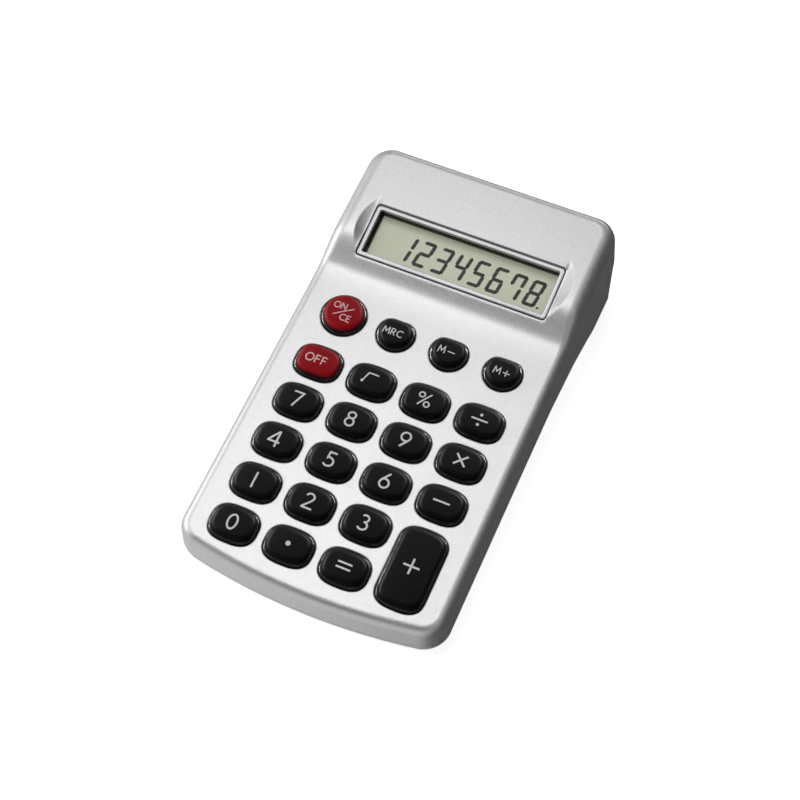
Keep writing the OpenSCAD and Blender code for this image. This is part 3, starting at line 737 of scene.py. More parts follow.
digits = {
    "0": [arc(0, 0, 1.02, 1.70, 90, 450, 12)],
    "1": [line((0, -1.92), (0, 1.92))],
    "2": [arc(-0.08, 0.86, 0.92, 0.88, 165, -38) + line((0.35, -0.10), (-1.16, -1.70)),
          line((-1.3, -1.70), (1.25, -1.70))],
    "3": [arc(-0.25, 0.90, 0.86, 0.82, 140, -90), arc(-0.25, -0.78, 1.06, 0.90, 90, -150)],
    "4": [line((0.50, -1.96), (0.50, 1.75), (0.32, 1.75), (-1.42, -0.72), (-1.42, -0.78), (1.25, -0.78))],
    "5": [line((1.02, 1.70), (-0.55, 1.70), (-0.68, 0.18)) + arc(-0.22, -0.62, 1.16, 1.04, 108, -145)],
    "6": [line((0.62, 1.90), (-0.75, 0.12)), arc(0, -0.66, 1.05, 1.05, 0, 360, 12)],
    "7": [line((-1.22, 1.70), (1.05, 1.70), (-0.45, -1.95))],
    "8": [arc(0, 0.94, 0.84, 0.78, 0, 360, 12), arc(0, -0.76, 0.98, 0.94, 0, 360, 12)],
    "9": [arc(0, 0.66, 1.05, 1.05, 0, 360, 12), line((0.75, -0.12), (-0.62, -1.90))],
}
letters = {  # in a box one unit tall, with each letter's width
    "O": (0.98, [arc(0.49, 0.5, 0.44, 0.46, 0, 360, 12)]),
    "F": (0.62, [line((0.08, 0), (0.08, 0.96), (0.56, 0.96)), line((0.08, 0.52), (0.52, 0.52))]),
    "N": (0.86, [line((0.08, 0), (0.08, 1.0), (0.76, 0.0), (0.76, 1.0))]),
    "C": (0.86, [arc(0.52, 0.5, 0.44, 0.46, 48, 312, 12)]),
    "E": (0.64, [line((0.56, 0.96), (0.08, 0.96), (0.08, 0.04), (0.58, 0.04)), line((0.08, 0.52), (0.52, 0.52))]),
    "M": (1.0, [line((0.06, 0), (0.16, 1.0), (0.50, 0.30), (0.84, 1.0), (0.94, 0))]),
    "R": (0.72, [line((0.08, 0), (0.08, 0.96), (0.34, 0.96)) + arc(0.34, 0.72, 0.24, 0.24, 90, -90)
                 + line((0.08, 0.48)), line((0.30, 0.48), (0.64, 0))]),
    "-": (1.15, [line((0.10, 0.46), (1.08, 0.46))]),
    "+": (1.0, [line((0.06, 0.46), (0.96, 0.46)), line((0.51, 0.01), (0.51, 0.91))]),
}


def word(text, x, y, tall, gap=0.12):  # letters side by side, centred on x, y
    wide = sum(letters[c][0] for c in text) + gap * (len(text) - 1)
    strokes, at = [], -wide / 2
    for c in text:
        w, shapes = letters[c]
        for s in shapes:
            strokes.append([np.array((at + p[0], p[1] - 0.5)) * tall + (x, y) for p in s])
        at += w + gap
    return strokes


def dot(x, y, r):
    return [arc(x, y, r / 2, r / 2, 0, 360, 8)]


def legendStrokes(key):  # (strokes, width) groups for each key
    small, sign, cross = legend["small"], legend["sign"], legend["cross"]
    if key in digits:
        shift = np.array({"4": (-0.15, -0.1), "7": (-0.05, -0.15)}.get(key, (-0.05, -0.1)))
        return [([[p + shift for p in s] for s in digits[key]], legend["stroke"])]
    return {
        "off": [(word("OFF", -0.4, 0.0, 2.05, 0.14), legend["thin"])],
        "on_ce": [(word("ON", -1.22, 1.31, 1.65, 0.10), small), (word("CE", 1.04, -1.39, 1.65, 0.10), small),
                  ([line((-2.05, -1.39), (2.12, 1.49))], 0.24)],
        "mrc": [(word("MRC", -0.40, -0.50, 1.70, 0.12), small)],
        "m_minus": [(word("M-", -0.30, -0.35, 1.75, 0.22), small)],
        "m_plus": [(word("M+", -0.05, -0.60, 1.75, 0.22), small)],
        "root": [([line((-2.05, -0.95), (-1.72, -1.15), (-0.95, 1.3), (1.45, 1.3))], 0.34),
                 ([line((-1.98, -0.75), (-1.72, -1.05))], 0.5)],
        "percent": [([arc(-0.95, 0.85, 0.62, 0.62, 0, 360, 12), arc(0.8, -1.15, 0.62, 0.62, 0, 360, 12)], 0.34),
                    ([line((-1.2, -1.75), (1.15, 1.55))], 0.34)],
        "divide": [([line((-1.9, -0.1), (1.9, -0.1))], sign), (dot(0, 1.15, 0.34), 0.36),
                   (dot(0, -1.35, 0.34), 0.36)],
        "multiply": [([line((-1.3, -1.3), (1.3, 1.3)), line((-1.3, 1.3), (1.3, -1.3))], cross)],
        "minus": [([line((-1.9, 0), (1.9, 0))], sign)],
        "point": [(dot(0, 0, 0.55), 0.56)],
        "equals": [([line((-1.65, 0.6), (1.65, 0.6)), line((-1.65, -0.6), (1.65, -0.6))], sign)],
        "plus": [([line((-1.85, 0), (1.85, 0)), line((0, -1.85), (0, 1.85))], cross)],
    }[key]


def ribbon(stroke, width, lift, depth):  # a flat closed bar along a stroke; lift(x, y) gives the surface under it
    points = [stroke[0]]
    for p in stroke[1:]:
        far = np.hypot(*(p - points[-1]))
        if far > 1e-6:
            start, n = points[-1], int(np.ceil(far / legend["step"]))
            points += [start + (p - start) * i / n for i in range(1, n + 1)]
    points = np.array(points)
    loop = np.hypot(*(points[0] - points[-1])) < 1e-6
    if loop:
        points = points[:-1]
    n = len(points)
    sides = []
    for i in range(n):
        before = points[i] - points[i - 1] if (i or loop) else points[1] - points[0]
        after = points[(i + 1) % n] - points[i] if (i < n - 1 or loop) else points[-1] - points[-2]
        a, b = before / np.hypot(*before), after / np.hypot(*after)
        way = a + b
        if np.hypot(*way) < 0.2:
            way = a
        way = way / np.hypot(*way)
        out = np.array([way[1], -way[0]])
        reach = min(1.9, 1 / max(0.35, abs(out @ np.array([a[1], -a[0]]))))
        sides.append(out * reach * width / 2)
    sides = np.array(sides)
    rows = []
    right, left = points + sides, points - sides
    for edge, high in ((right, False), (right, True), (left, True), (left, False)):
        z = lift(edge[:, 0], edge[:, 1]) + (legend["proud"] if high else -depth)
        rows.append(np.column_stack([edge, z]))
    flat = np.concatenate(rows)
    faces = []
    for r in range(4):
        a, b = r * n, ((r + 1) % 4) * n
        for i in range(n if loop else n - 1):
            j = (i + 1) % n
            faces.append((a + i, a + j, b + j, b + i))
    if not loop:
        faces += [(0, n, 2 * n, 3 * n), (n - 1, 4 * n - 1, 3 * n - 1, 2 * n - 1)]
    return flat, faces


def makeLegend(key, finish):
    shape, x, y = keyPlan[key]
    parts = []
    for strokes, width in legendStrokes(key):
        for s in strokes:
            parts.append(ribbon(s, width, lambda u, v: crownHeight(shape, u, v), legend["sunk"]))
    points, faces = gather(parts)
    place = deckPlace @ Matrix.Translation((x, y, 0))
    piece = addMesh("print_" + key, points, faces, place, finish, sharp=30, mergeAt=1e-8)
    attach(piece, "key_" + key)
    return piece


# Geometry nodes

def newTree(name, inputs):
    tree = bpy.data.node_groups.new(name, "GeometryNodeTree")
    tree.interface.new_socket("Geometry", in_out="INPUT", socket_type="NodeSocketGeometry")
    for label, kind, value in inputs:
        socket = tree.interface.new_socket(label, in_out="INPUT", socket_type="NodeSocket" + kind)
        if value is not None:
            socket.default_value = value
    tree.interface.new_socket("Geometry", in_out="OUTPUT", socket_type="NodeSocketGeometry")
    source = tree.nodes.new("NodeGroupInput")
    target = tree.nodes.new("NodeGroupOutput")
    return tree, source, target


def geo(tree, kind, links=None, **settings):
    made = tree.nodes.new(kind)
    for key, value in settings.items():
        setattr(made, key, value)
    for key, value in (links or {}).items():
        if isinstance(value, bpy.types.NodeSocket):
            tree.links.new(value, made.inputs[key])
        else:
            made.inputs[key].default_value = value
    return made


def grow(name, base, tree, values, finish, place, sharp=35):  # runs a tree on a base mesh and keeps a plain mesh
    holder = bpy.data.objects.new(name + "Base", base)
    bpy.context.scene.collection.objects.link(holder)
    modifier = holder.modifiers.new("grow", "NODES")
    modifier.node_group = tree
    for item in tree.interface.items_tree:
        if item.item_type == "SOCKET" and item.in_out == "INPUT" and item.name in values:
            modifier[item.identifier] = values[item.name]
    bpy.context.view_layer.update()
    made = bpy.data.meshes.new_from_object(holder.evaluated_get(bpy.context.evaluated_depsgraph_get()))
    bpy.data.objects.remove(holder)
    made.name = name
    made.transform(toMetres @ place)
    made.materials.clear()
    made.materials.append(finish)
    made.polygons.foreach_set("material_index", [0] * len(made.polygons))
    made.polygons.foreach_set("use_smooth", [True] * len(made.polygons))
    made.set_sharp_from_angle(angle=radians(sharp))
    piece = bpy.data.objects.new(name, made)
    bpy.context.scene.collection.objects.link(piece)
    return piece


def shapeObject(name, points, faces):  # a small shape for a tree to repeat
    mesh = bpy.data.meshes.new(name)
    mesh.from_pydata([tuple(p) for p in points], [], [tuple(f) for f in faces])
    shape = bpy.data.objects.new(name, mesh)
    bpy.context.scene.collection.objects.link(shape)
    return shape


def repeatTree(name):  # instances of one shape on the base's points, turned and stretched by its attributes
    inputs = [("Shape", "Object", None), ("Size", "Float", 1.0), ("Material", "Material", None)]
    tree, source, target = newTree(name, inputs)
    info = geo(tree, "GeometryNodeObjectInfo", {"Object": source.outputs["Shape"]})
    turn = geo(tree, "GeometryNodeInputNamedAttribute", {"Name": "turn"}, data_type="FLOAT")
    euler = geo(tree, "ShaderNodeCombineXYZ", {"Z": turn.outputs["Attribute"]})
    stretch = geo(tree, "GeometryNodeInputNamedAttribute", {"Name": "stretch"}, data_type="FLOAT_VECTOR")
    scale = geo(tree, "ShaderNodeVectorMath", {0: stretch.outputs["Attribute"]}, operation="SCALE")
    tree.links.new(source.outputs["Size"], scale.inputs["Scale"])
    put = geo(tree, "GeometryNodeInstanceOnPoints", {
        "Points": source.outputs["Geometry"], "Instance": info.outputs["Geometry"],
        "Rotation": euler.outputs[0], "Scale": scale.outputs[0]})
    real = geo(tree, "GeometryNodeRealizeInstances", {"Geometry": put.outputs[0]})
    paint = geo(tree, "GeometryNodeSetMaterial",
                {"Geometry": real.outputs[0], "Material": source.outputs["Material"]})
    tree.links.new(paint.outputs[0], target.inputs["Geometry"])
    return tree


def pointMesh(name, points, turns=None, stretches=None):
    mesh = bpy.data.meshes.new(name)
    mesh.from_pydata([tuple(p) for p in points], [], [])
    turn = mesh.attributes.new("turn", "FLOAT", "POINT")
    turn.data.foreach_set("value", turns if turns is not None else [0.0] * len(points))
    stretch = mesh.attributes.new("stretch", "FLOAT_VECTOR", "POINT")
    stretches = stretches if stretches is not None else [(1, 1, 1)] * len(points)
    stretch.data.foreach_set("vector", [v for s in stretches for v in s])
    return mesh


def repeat(name, shape, points, finish, place, turns=None, stretches=None):
    tree = repeatTree(name + "Tree")
    values = {"Shape": shape, "Size": 1.0, "Material": finish}
    piece = grow(name, pointMesh(name + "Points", points, turns, stretches), tree, values, finish, place)
    bpy.data.objects.remove(shape)
    return piece


# Display

lcd = {
    "tall": 6.9, "wide": 3.25, "pitch": 4.55, "right": 18.3, "middle": -0.25, "slant": 0.14, "bar": 0.85,
    "split": 0.14, "depth": 2.9, "lift": 0.02, "thick": 0.03, "taper": 0.13,
    "pointAfter": 0.75, "pointUp": 0.3, "pointWide": 0.62, "pointTall": 0.5,
}
segmentsOf = {
    "1": "bc", "2": "abged", "3": "abgcd", "4": "fgbc", "5": "afgcd", "6": "afgedc", "7": "fabc", "8": "abcdefg",
}


def makeDigits(finish):
    half, w, bar, gap = lcd["tall"] / 2, lcd["wide"], lcd["bar"], lcd["split"]
    places = {  # middle, length direction and length of each bar of a digit
        "a": (0, half - bar / 2, 0, w), "g": (0, 0, 0, w), "d": (0, -half + bar / 2, 0, w),
        "b": (w / 2 - bar / 2, half / 2, 90, half), "c": (w / 2 - bar / 2, -half / 2, 90, half),
        "f": (-w / 2 + bar / 2, half / 2, 90, half), "e": (-w / 2 + bar / 2, -half / 2, 90, half),
    }
    points, turns, stretches = [], [], []
    for n, digit in enumerate("12345678"):
        x0 = lcd["right"] - (7 - n) * lcd["pitch"]
        for s in segmentsOf[digit]:
            x, y, angle, long = places[s]
            points.append((x0 + x, y, 0))
            turns.append(radians(angle))
            stretches.append((long - gap * 2, bar, 1))
    long = 0.5 - lcd["taper"]
    hexagon = [(-0.5, 0), (-long, -0.5), (long, -0.5), (0.5, 0), (long, 0.5), (-long, 0.5)]
    shapePoints = [(x, y, z) for z in (0, lcd["thick"]) for x, y in hexagon]
    faces = [(5, 4, 3, 2, 1, 0), (6, 7, 8, 9, 10, 11)] + [(i, (i + 1) % 6, 6 + (i + 1) % 6, 6 + i) for i in range(6)]
    shape = shapeObject("bar", shapePoints, faces)
    points.append((lcd["right"] + w / 2 + lcd["pointAfter"], -half + lcd["pointUp"], 0))
    turns.append(0.0)
    stretches.append((lcd["pointWide"], lcd["pointTall"], 1))
    slant = Matrix.Identity(4)
    slant[0][1] = lcd["slant"]
    z = -lcd["depth"] + lcd["lift"]
    place = displayPlace @ Matrix.Translation((0, lcd["middle"], z)) @ slant
    piece = repeat("lcdDigits", shape, points, finish, place, turns, stretches)
    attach(piece, "case")
    return piece


bezel = {"corner": 0.8, "innerCorner": 0.35, "edge": 0.2, "innerEdge": 0.14, "deep": 0.9}


def makeDisplayFrame(finish):
    w, l = frameSizes["width"] - frameSizes["fit"], frameSizes["length"] - frameSizes["fit"]
    b = frameSizes["border"]
    outer, inner = roundedRing(w, l, bezel["corner"]), roundedRing(w - 2 * b, l - 2 * b, bezel["innerCorner"])

    def ring(base, grow, z):
        return np.column_stack([offsetRing(base, grow), np.full(len(base), z)])

    r, s = bezel["edge"], bezel["innerEdge"]
    rows = [ring(outer, 0, -bezel["deep"])]
    rows += [ring(outer, -r * (1 - cos(a)), -r + r * sin(a)) for a in np.linspace(0, pi / 2, 5)]
    rows += [ring(inner, s * (1 - sin(a)), -s * (1 - cos(a))) for a in np.linspace(0, pi / 2, 5)]
    rows += [ring(inner, 0, -bezel["deep"]), rows[0]]
    piece = addMesh("displayBezel", np.concatenate(rows), stitch(rows), displayPlace, finish, sharp=50)
    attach(piece, "case")
    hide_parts("display_frame")
    return piece


def makeDoor(finish):
    y0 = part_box("battery_door")[0].y / mm
    half = doorSizes["width"] / 2
    z0, z1 = doorSizes["low"], doorSizes["low"] + doorSizes["thick"]
    back = deckPlace.inverted()

    def rearAt(x, z):  # where the rear wall of the lower half stands at height z
        y = 48.0
        for _ in range(12):
            p = back @ Vector((x, y, z))
            depth = case["parting"] - p.z
            y = y + (rearWall(depth) - p.y) * 0.9
        return y

    def rearWall(depth):
        total = case["parting"] - bellyHeight(case["rear"] - belly["rearIn"])
        up = belly["rearUp"]
        straight = total - up
        lean = belly["rearSlope"] * straight
        if depth < straight:
            return case["rear"] - belly["rearSlope"] * depth
        s = min(1, max(0, (total - depth) / up))
        c = sqrt(max(0, 1 - (1 - s) ** 2))
        return case["rear"] - lean - (belly["rearIn"] - lean) * (1 - c)

    r = doorSizes["edge"]
    rings = []
    for grow, z in ((-r, z0), (-r * 0.3, z0 + r * 0.3), (0, z0 + r), (0, z1)):
        ring = []
        yEnd = rearAt(0, z) - 0.05
        plan = roundedRing(2 * (half + grow), 10, doorSizes["corner"])
        for x, y in plan:
            ring.append((x, y0 - grow if y < 0 else yEnd + min(grow, 0) * 0.3, z))
        rings.append(np.array(ring))
    flange = doorSizes["flange"] / 2
    slab = boxMesh(-flange, flange, y0, rings[-1][:, 1].max() - 2.2, z1 - 0.02, z1 + doorSizes["flangeThick"])
    faces = stitch(rings)
    n = len(rings[0])
    faces += [tuple(range(n - 1, -1, -1)), tuple(range(3 * n, 4 * n))]
    points, faces = gather([(np.concatenate(rings), faces), slab])
    piece = addMesh("doorPanel", points, faces, worldPlace, finish, sharp=35)
    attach(piece, "battery_door")
    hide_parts("battery_door")
    # grip bars under the thumb
    bars, middle = doorSizes["bars"], doorSizes["bars"] // 2
    shape = shapeObject("ridge", *tubeBar(11.0, 0.55, 0.28))
    spots = [(0, y0 + doorSizes["barFrom"] + doorSizes["barPitch"] * i, z0 + 0.02) for i in range(bars)]
    widths = [(1 - doorSizes["barNarrow"] * abs(i - middle) ** 2, 1, 1) for i in range(bars)]
    grip = repeat("doorGrip", shape, spots, finish, worldPlace, None, widths)
    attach(grip, "battery_door")
    return piece


def tubeBar(long, wide, high):  # a rounded bar that hangs below z = 0
    rings = []
    for grow, z in ((0, 0.1), (0, -high * 0.4), (-0.1, -high * 0.85), (-0.2, -high)):
        plan = roundedRing(long + 2 * grow, wide + 2 * grow, (wide / 2 + grow) * 0.98, 3)
        rings.append(np.column_stack([plan, np.full(len(plan), z)]))
    n = len(rings[0])
    faces = [tuple(reversed(f)) for f in stitch(rings)]
    faces += [tuple(range(n)), tuple(range(4 * n - 1, 3 * n - 1, -1))]
    return np.concatenate(rings), faces


screw = {
    "head": 1.8, "rise": 0.9, "shank": 1.0, "long": 6.0, "slot": 0.42, "slotLong": 1.9, "slotDeep": 0.5,
    "turns": (0.3, 1.1, 0.7),
}


def makeCaseScrews(finish):
    shank, top, rise = screw["shank"], screw["head"], screw["rise"]
    rows = [(top * 0.3, -rise - 0.05), (top * 0.5, -rise), (top * 0.86, -0.7), (top, -0.35), (top, 0.0),
            (shank, 0.0), (shank, screw["long"])]
    points, faces = tubeMesh(0, 0, rows, 28)
    body = addMesh("screwShape", points, faces, worldPlace, finish, sharp=30)
    for turned in (0, 90):
        p, f = boxMesh(-screw["slotLong"] / 2, screw["slotLong"] / 2, -screw["slot"] / 2, screw["slot"] / 2,
                       -2.5, -screw["rise"] + screw["slotDeep"])
        cut(body, addMesh("tool", p, f, Matrix.Rotation(radians(turned), 4, "Z"), finish))
    body.data.transform(Matrix.Diagonal((1 / mm, 1 / mm, 1 / mm, 1)))
    spots = [(x, y, -(screwDepth["front"] if y < 0 else screwDepth["rear"])) for x, y in screwSpots]
    piece = repeat("caseScrewHeads", body, spots, finish, deckPlace, screw["turns"])
    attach(piece, "case")
    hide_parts("case_screws")
    return piece


def makeFeet(finish):
    spots, r = footSpots()
    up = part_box("rubber_feet")[1].z / mm
    rows = [(r * 0.55, 0.12), (r * 0.62, 0.0), (r * 0.86, 0.0), (r * 0.96, 0.06), (r, 0.22), (r, up)]
    points, faces = tubeMesh(0, 0, rows, 40)
    shape = shapeObject("foot", points, faces)
    piece = repeat("feet", shape, [(x, y, 0) for x, y in spots], finish, worldPlace)
    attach(piece, "case")
    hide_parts("rubber_feet")
    return piece


# Finishes

paint = {
    "flakeScale": 4200.0, "peelScale": 1900, "broadScale": 45,
    "dark": (0.54, 0.54, 0.545), "light": (0.68, 0.68, 0.685), "worn": (0.58, 0.58, 0.58), "wornShare": 0.12,
    "rough": (0.36, 0.46), "peel": 0.65, "flake": 0.18, "metallic": 0.82,
}


def silverPaint():  # metallic flakes under a faint orange-peel surface
    finish, tree, shader = newFinish("silverPaint")
    where = coords(tree)
    flake = node(tree, "TexVoronoi", {"Scale": paint["flakeScale"]}, feature="F1")
    tree.links.new(where, flake.inputs["Vector"])
    sparkle = node(tree, "SeparateColor", {0: flake.outputs["Color"]}).outputs[0]
    orange = noise(tree, paint["peelScale"], 3, 0.6, where)
    broad = noise(tree, paint["broadScale"], 2, 0.5, where)
    both = node(tree, "Math", {0: sparkle, 1: orange}, operation="MULTIPLY").outputs[0]
    tone = mixColours(tree, spread(tree, both, 0, 1, 0.0, 0.75), paint["dark"], paint["light"])
    worn = mixColours(tree, spread(tree, broad, 0, paint["wornShare"], 0.35, 0.7), tone, paint["worn"])
    tree.links.new(worn, shader.inputs["Base Color"])
    tree.links.new(spread(tree, sparkle, *paint["rough"]), shader.inputs["Roughness"])
    under = bump(tree, orange, paint["peel"], 0.00003)
    tree.links.new(bump(tree, sparkle, paint["flake"], 0.00001, under), shader.inputs["Normal"])
    shader.inputs["Metallic"].default_value = paint["metallic"]
    return finish


# facingUp and fadeHeight set where the painted shade on the key sides starts and ends
capFinish = {
    "fadeHeight": 0.7, "coatHeight": 0.35, "facingUp": (0.15, 0.75), "rough": (0.46, 0.54), "coatRough": 0.12,
    "grain": 0.12,
}


def keyPlastic(name, dark, light, side, specular):  # moulded cap with painted shade down its sides and towards its foot, glossy along its skirt
    finish, tree, shader = newFinish(name)
    where = coords(tree)
    fine = noise(tree, 3000, 3, 0.6, where)
    broad = noise(tree, 140, 2, 0.5, where)
    normal = node(tree, "NewGeometry").outputs["Normal"]
    up = node(tree, "SeparateXYZ", {0: normal}).outputs["Z"]
    top = mixColours(tree, spread(tree, broad, 0, 1, 0.35, 0.65), dark, light)
    square = deckPlace.to_3x3() @ Vector((0, 0, 1))
    above = node(tree, "VectorMath", {0: where, 1: square}, operation="DOT_PRODUCT").outputs["Value"]
    body = (square.dot(deckPlace.translation) + cap["bodyLow"]) * mm
    # painted shade: the cap takes the dark side colour where its surface turns away from up and near its foot
    facing = spread(tree, up, 0, 1, *capFinish["facingUp"])
    raised = spread(tree, above, 0, 1, body, body + capFinish["fadeHeight"] * mm)
    lit = node(tree, "Math", {0: facing, 1: raised}, operation="MULTIPLY").outputs[0]
    tree.links.new(mixColours(tree, lit, side, top), shader.inputs["Base Color"])
    tree.links.new(spread(tree, fine, *capFinish["rough"], 0.3, 0.7), shader.inputs["Roughness"])
    coat = spread(tree, above, 1, 0, body, body + capFinish["coatHeight"] * mm)
    tree.links.new(coat, shader.inputs["Coat Weight"])
    shader.inputs["Coat Roughness"].default_value = capFinish["coatRough"]
    tree.links.new(bump(tree, fine, capFinish["grain"], 0.00002), shader.inputs["Normal"])
    shader.inputs["Specular IOR Level"].default_value = specular
    return finish


# where the painted shadow of the recess walls lies on the LCD face, and the strength of its painted glow
lcdShade = {"top": 4.85, "left": -21.95, "soft": 0.35, "depth": -2.2, "glow": 0.2}


def lcdPanel():  # reflective grey-green face with a faint painted glow, and a painted shadow of the recess walls along its rear and left margins
    finish, tree, shader = newFinish("lcdPanel")
    where = coords(tree)
    fine = noise(tree, 5200, 2, 0.5, where)
    broad = noise(tree, 70, 2, 0.5, where)
    tone = mixColours(tree, spread(tree, broad, 0, 1, 0.3, 0.7), (0.80, 0.80, 0.63), (0.86, 0.86, 0.70))
    face = mixColours(tree, spread(tree, fine, 0, 0.25, 0.3, 0.7), tone, (0.72, 0.73, 0.58))
    t = radians(display["tilt"])
    top = deckPlace @ Vector((0, display["y"] + lcdShade["top"] * cos(t) - lcdShade["depth"] * sin(t),
                              display["z"] + lcdShade["top"] * sin(t) + lcdShade["depth"] * cos(t)))
    apart = node(tree, "SeparateXYZ", {0: where}).outputs
    soft = lcdShade["soft"] * mm
    # painted shadow: near black along the rear and left margins, where the recess walls would shade the face
    rear = spread(tree, apart["Y"], 0, 1, top.y - soft, top.y + soft * 0.3)
    left = spread(tree, apart["X"], 1, 0, lcdShade["left"] * mm, lcdShade["left"] * mm + soft)
    paintedShadow = node(tree, "Math", {0: rear, 1: left}, operation="MAXIMUM").outputs[0]
    shaded = mixColours(tree, paintedShadow, face, (0.012, 0.012, 0.013))
    tree.links.new(shaded, shader.inputs["Base Color"])
    # painted light: the face glows faintly, standing in for light sent back by the reflector
    tree.links.new(shaded, shader.inputs["Emission Color"])
    shader.inputs["Emission Strength"].default_value = lcdShade["glow"]
    tree.links.new(spread(tree, fine, 0.42, 0.55, 0.3, 0.7), shader.inputs["Roughness"])
    return finish


def clearPane():
    finish, tree, shader = newFinish("clearPane")
    output = tree.nodes["Material Output"]
    fine = noise(tree, 260, 2, 0.5)
    tree.links.new(spread(tree, fine, 0.02, 0.06, 0.3, 0.7), shader.inputs["Roughness"])
    shader.inputs["Base Color"].default_value = (0.02, 0.02, 0.02, 1)
    clear = node(tree, "BsdfTransparent", {"Color": (0.97, 0.98, 0.97, 1)})
    facing = node(tree, "Fresnel", {"IOR": 1.25})
    mixed = node(tree, "MixShader", {0: facing.outputs[0]})
    tree.links.new(clear.outputs[0], mixed.inputs[1])
    tree.links.new(shader.outputs[0], mixed.inputs[2])
    tree.links.new(mixed.outputs[0], output.inputs["Surface"])
    return finish


def boardFinish():  # green solder mask with copper tracks under it
    finish, tree, shader = newFinish("boardGreen")
    where = coords(tree)
    brick = node(tree, "TexBrick", {"Scale": 260.0, "Mortar Size": 0.012, "Mortar": (1, 1, 1, 1),
                                    "Color1": (0, 0, 0, 1), "Color2": (0, 0, 0, 1)})
    tree.links.new(where, brick.inputs["Vector"])
    tone = mixColours(tree, brick.outputs["Color"], (0.012, 0.10, 0.045), (0.05, 0.23, 0.09))
    tree.links.new(tone, shader.inputs["Base Color"])
    tree.links.new(bump(tree, brick.outputs["Color"], 0.3, 0.00003), shader.inputs["Normal"])
    shader.inputs["Roughness"].default_value = 0.32
    return finish


def cellJacket():  # printed sleeve: dark body with one pale band towards the cap
    finish, tree, shader = newFinish("cellJacket")
    where = coords(tree)
    x = node(tree, "SeparateXYZ", {0: where}).outputs["X"]
    bandFrom = 13 * mm
    band = node(tree, "Math", {0: x, 1: bandFrom}, operation="GREATER_THAN").outputs[0]
    fine = noise(tree, 1500, 2, 0.5, where)
    dark = mixColours(tree, fine, (0.02, 0.03, 0.05), (0.035, 0.05, 0.09))
    tree.links.new(mixColours(tree, band, dark, (0.62, 0.47, 0.2)), shader.inputs["Base Color"])
    tree.links.new(spread(tree, fine, 0.22, 0.34, 0.3, 0.7), shader.inputs["Roughness"])
    shader.inputs["Metallic"].default_value = 0.4
    return finish


def brushedMetal(name, dark, light, rough, stretched=(1, 1, 30)):
    finish, tree, shader = newFinish(name)
    turned = node(tree, "Mapping", {"Vector": coords(tree), "Scale": stretched})
    grain = noise(tree, 900, 4, 0.6, turned.outputs[0])
    tree.links.new(mixColours(tree, spread(tree, grain, 0, 1, 0.35, 0.65), dark, light), shader.inputs["Base Color"])
    tree.links.new(spread(tree, grain, rough - 0.06, rough + 0.08, 0.3, 0.7), shader.inputs["Roughness"])
    tree.links.new(bump(tree, grain, 0.2, 0.00002), shader.inputs["Normal"])
    shader.inputs["Metallic"].default_value = 1.0
    return finish


print("finishes")
finishes = {
    "silver": silverPaint(),
    "grey": moulded("greyPlastic", (0.36, 0.36, 0.37), (0.44, 0.44, 0.45), 0.44,
                     grain=1500, grainDepth=0.00003, blotch=50, metallic=0.35),
    "frame": moulded("frameSilver", (0.36, 0.36, 0.37), (0.46, 0.46, 0.47), 0.33,
                      grain=2600, grainDepth=0.000004, blotch=80, metallic=0.7),
    "pane": clearPane(),
    "black": moulded("blackPlastic", (0.008, 0.008, 0.009), (0.016, 0.016, 0.017), 0.5, 2400),
    # the third colour of each key finish is the painted shade down its sides
    "keyBlack": keyPlastic("keyBlack", (0.0018,) * 3, (0.0035,) * 3, (0.0008,) * 3, 0.06),
    "keyRed": keyPlastic("keyRed", (0.46, 0.004, 0.010), (0.56, 0.008, 0.018), (0.010, 0.002, 0.003), 0.04),
    "printSilver": moulded("printSilver", (0.55, 0.55, 0.55), (0.68, 0.68, 0.68), 0.5, 2600),
    "printPink": moulded("printPink", (0.62, 0.38, 0.40), (0.72, 0.50, 0.52), 0.5, 2600),
    "lcd": lcdPanel(),
    "digit": moulded("lcdDigit", (0.040, 0.042, 0.045), (0.055, 0.058, 0.062), 0.5, 2800),
    "glass": moulded("panelGlass", (0.42, 0.45, 0.40), (0.48, 0.51, 0.46), 0.1, 900),
    "reflector": brushedMetal("reflector", (0.55, 0.56, 0.48), (0.68, 0.69, 0.60), 0.4),
    "pink": moulded("pinkRubber", (0.50, 0.16, 0.20), (0.60, 0.22, 0.26), 0.6, 1800),
    "board": boardFinish(),
    "epoxy": moulded("blackEpoxy", (0.010, 0.010, 0.010), (0.020, 0.020, 0.020), 0.22,
                      grain=700, grainDepth=0.00004),
    "tan": moulded("partTan", (0.36, 0.25, 0.13), (0.46, 0.34, 0.19), 0.45, 2000),
    "silicone": moulded("silicone", (0.52, 0.52, 0.50), (0.60, 0.60, 0.58), 0.55, 1600),
    "carbon": moulded("carbonRubber", (0.012, 0.012, 0.012), (0.022, 0.022, 0.022), 0.7, 2000),
    "jacket": cellJacket(),
    "nickel": brushedMetal("nickel", (0.50, 0.49, 0.46), (0.66, 0.64, 0.60), 0.28),
    "spring": brushedMetal("springSteel", (0.44, 0.44, 0.44), (0.62, 0.62, 0.62), 0.3, (30, 1, 1)),
    "leadRed": moulded("leadRed", (0.40, 0.010, 0.012), (0.50, 0.020, 0.022), 0.4, 1800),
    "leadBlack": moulded("leadBlack", (0.012, 0.012, 0.012), (0.022, 0.022, 0.022), 0.4, 1800),
    "steel": brushedMetal("screwSteel", (0.22, 0.22, 0.23), (0.36, 0.36, 0.37), 0.34),
    "rubber": moulded("footRubber", (0.014, 0.014, 0.014), (0.028, 0.028, 0.028), 0.75,
                       grain=1500, grainDepth=0.00006),
}
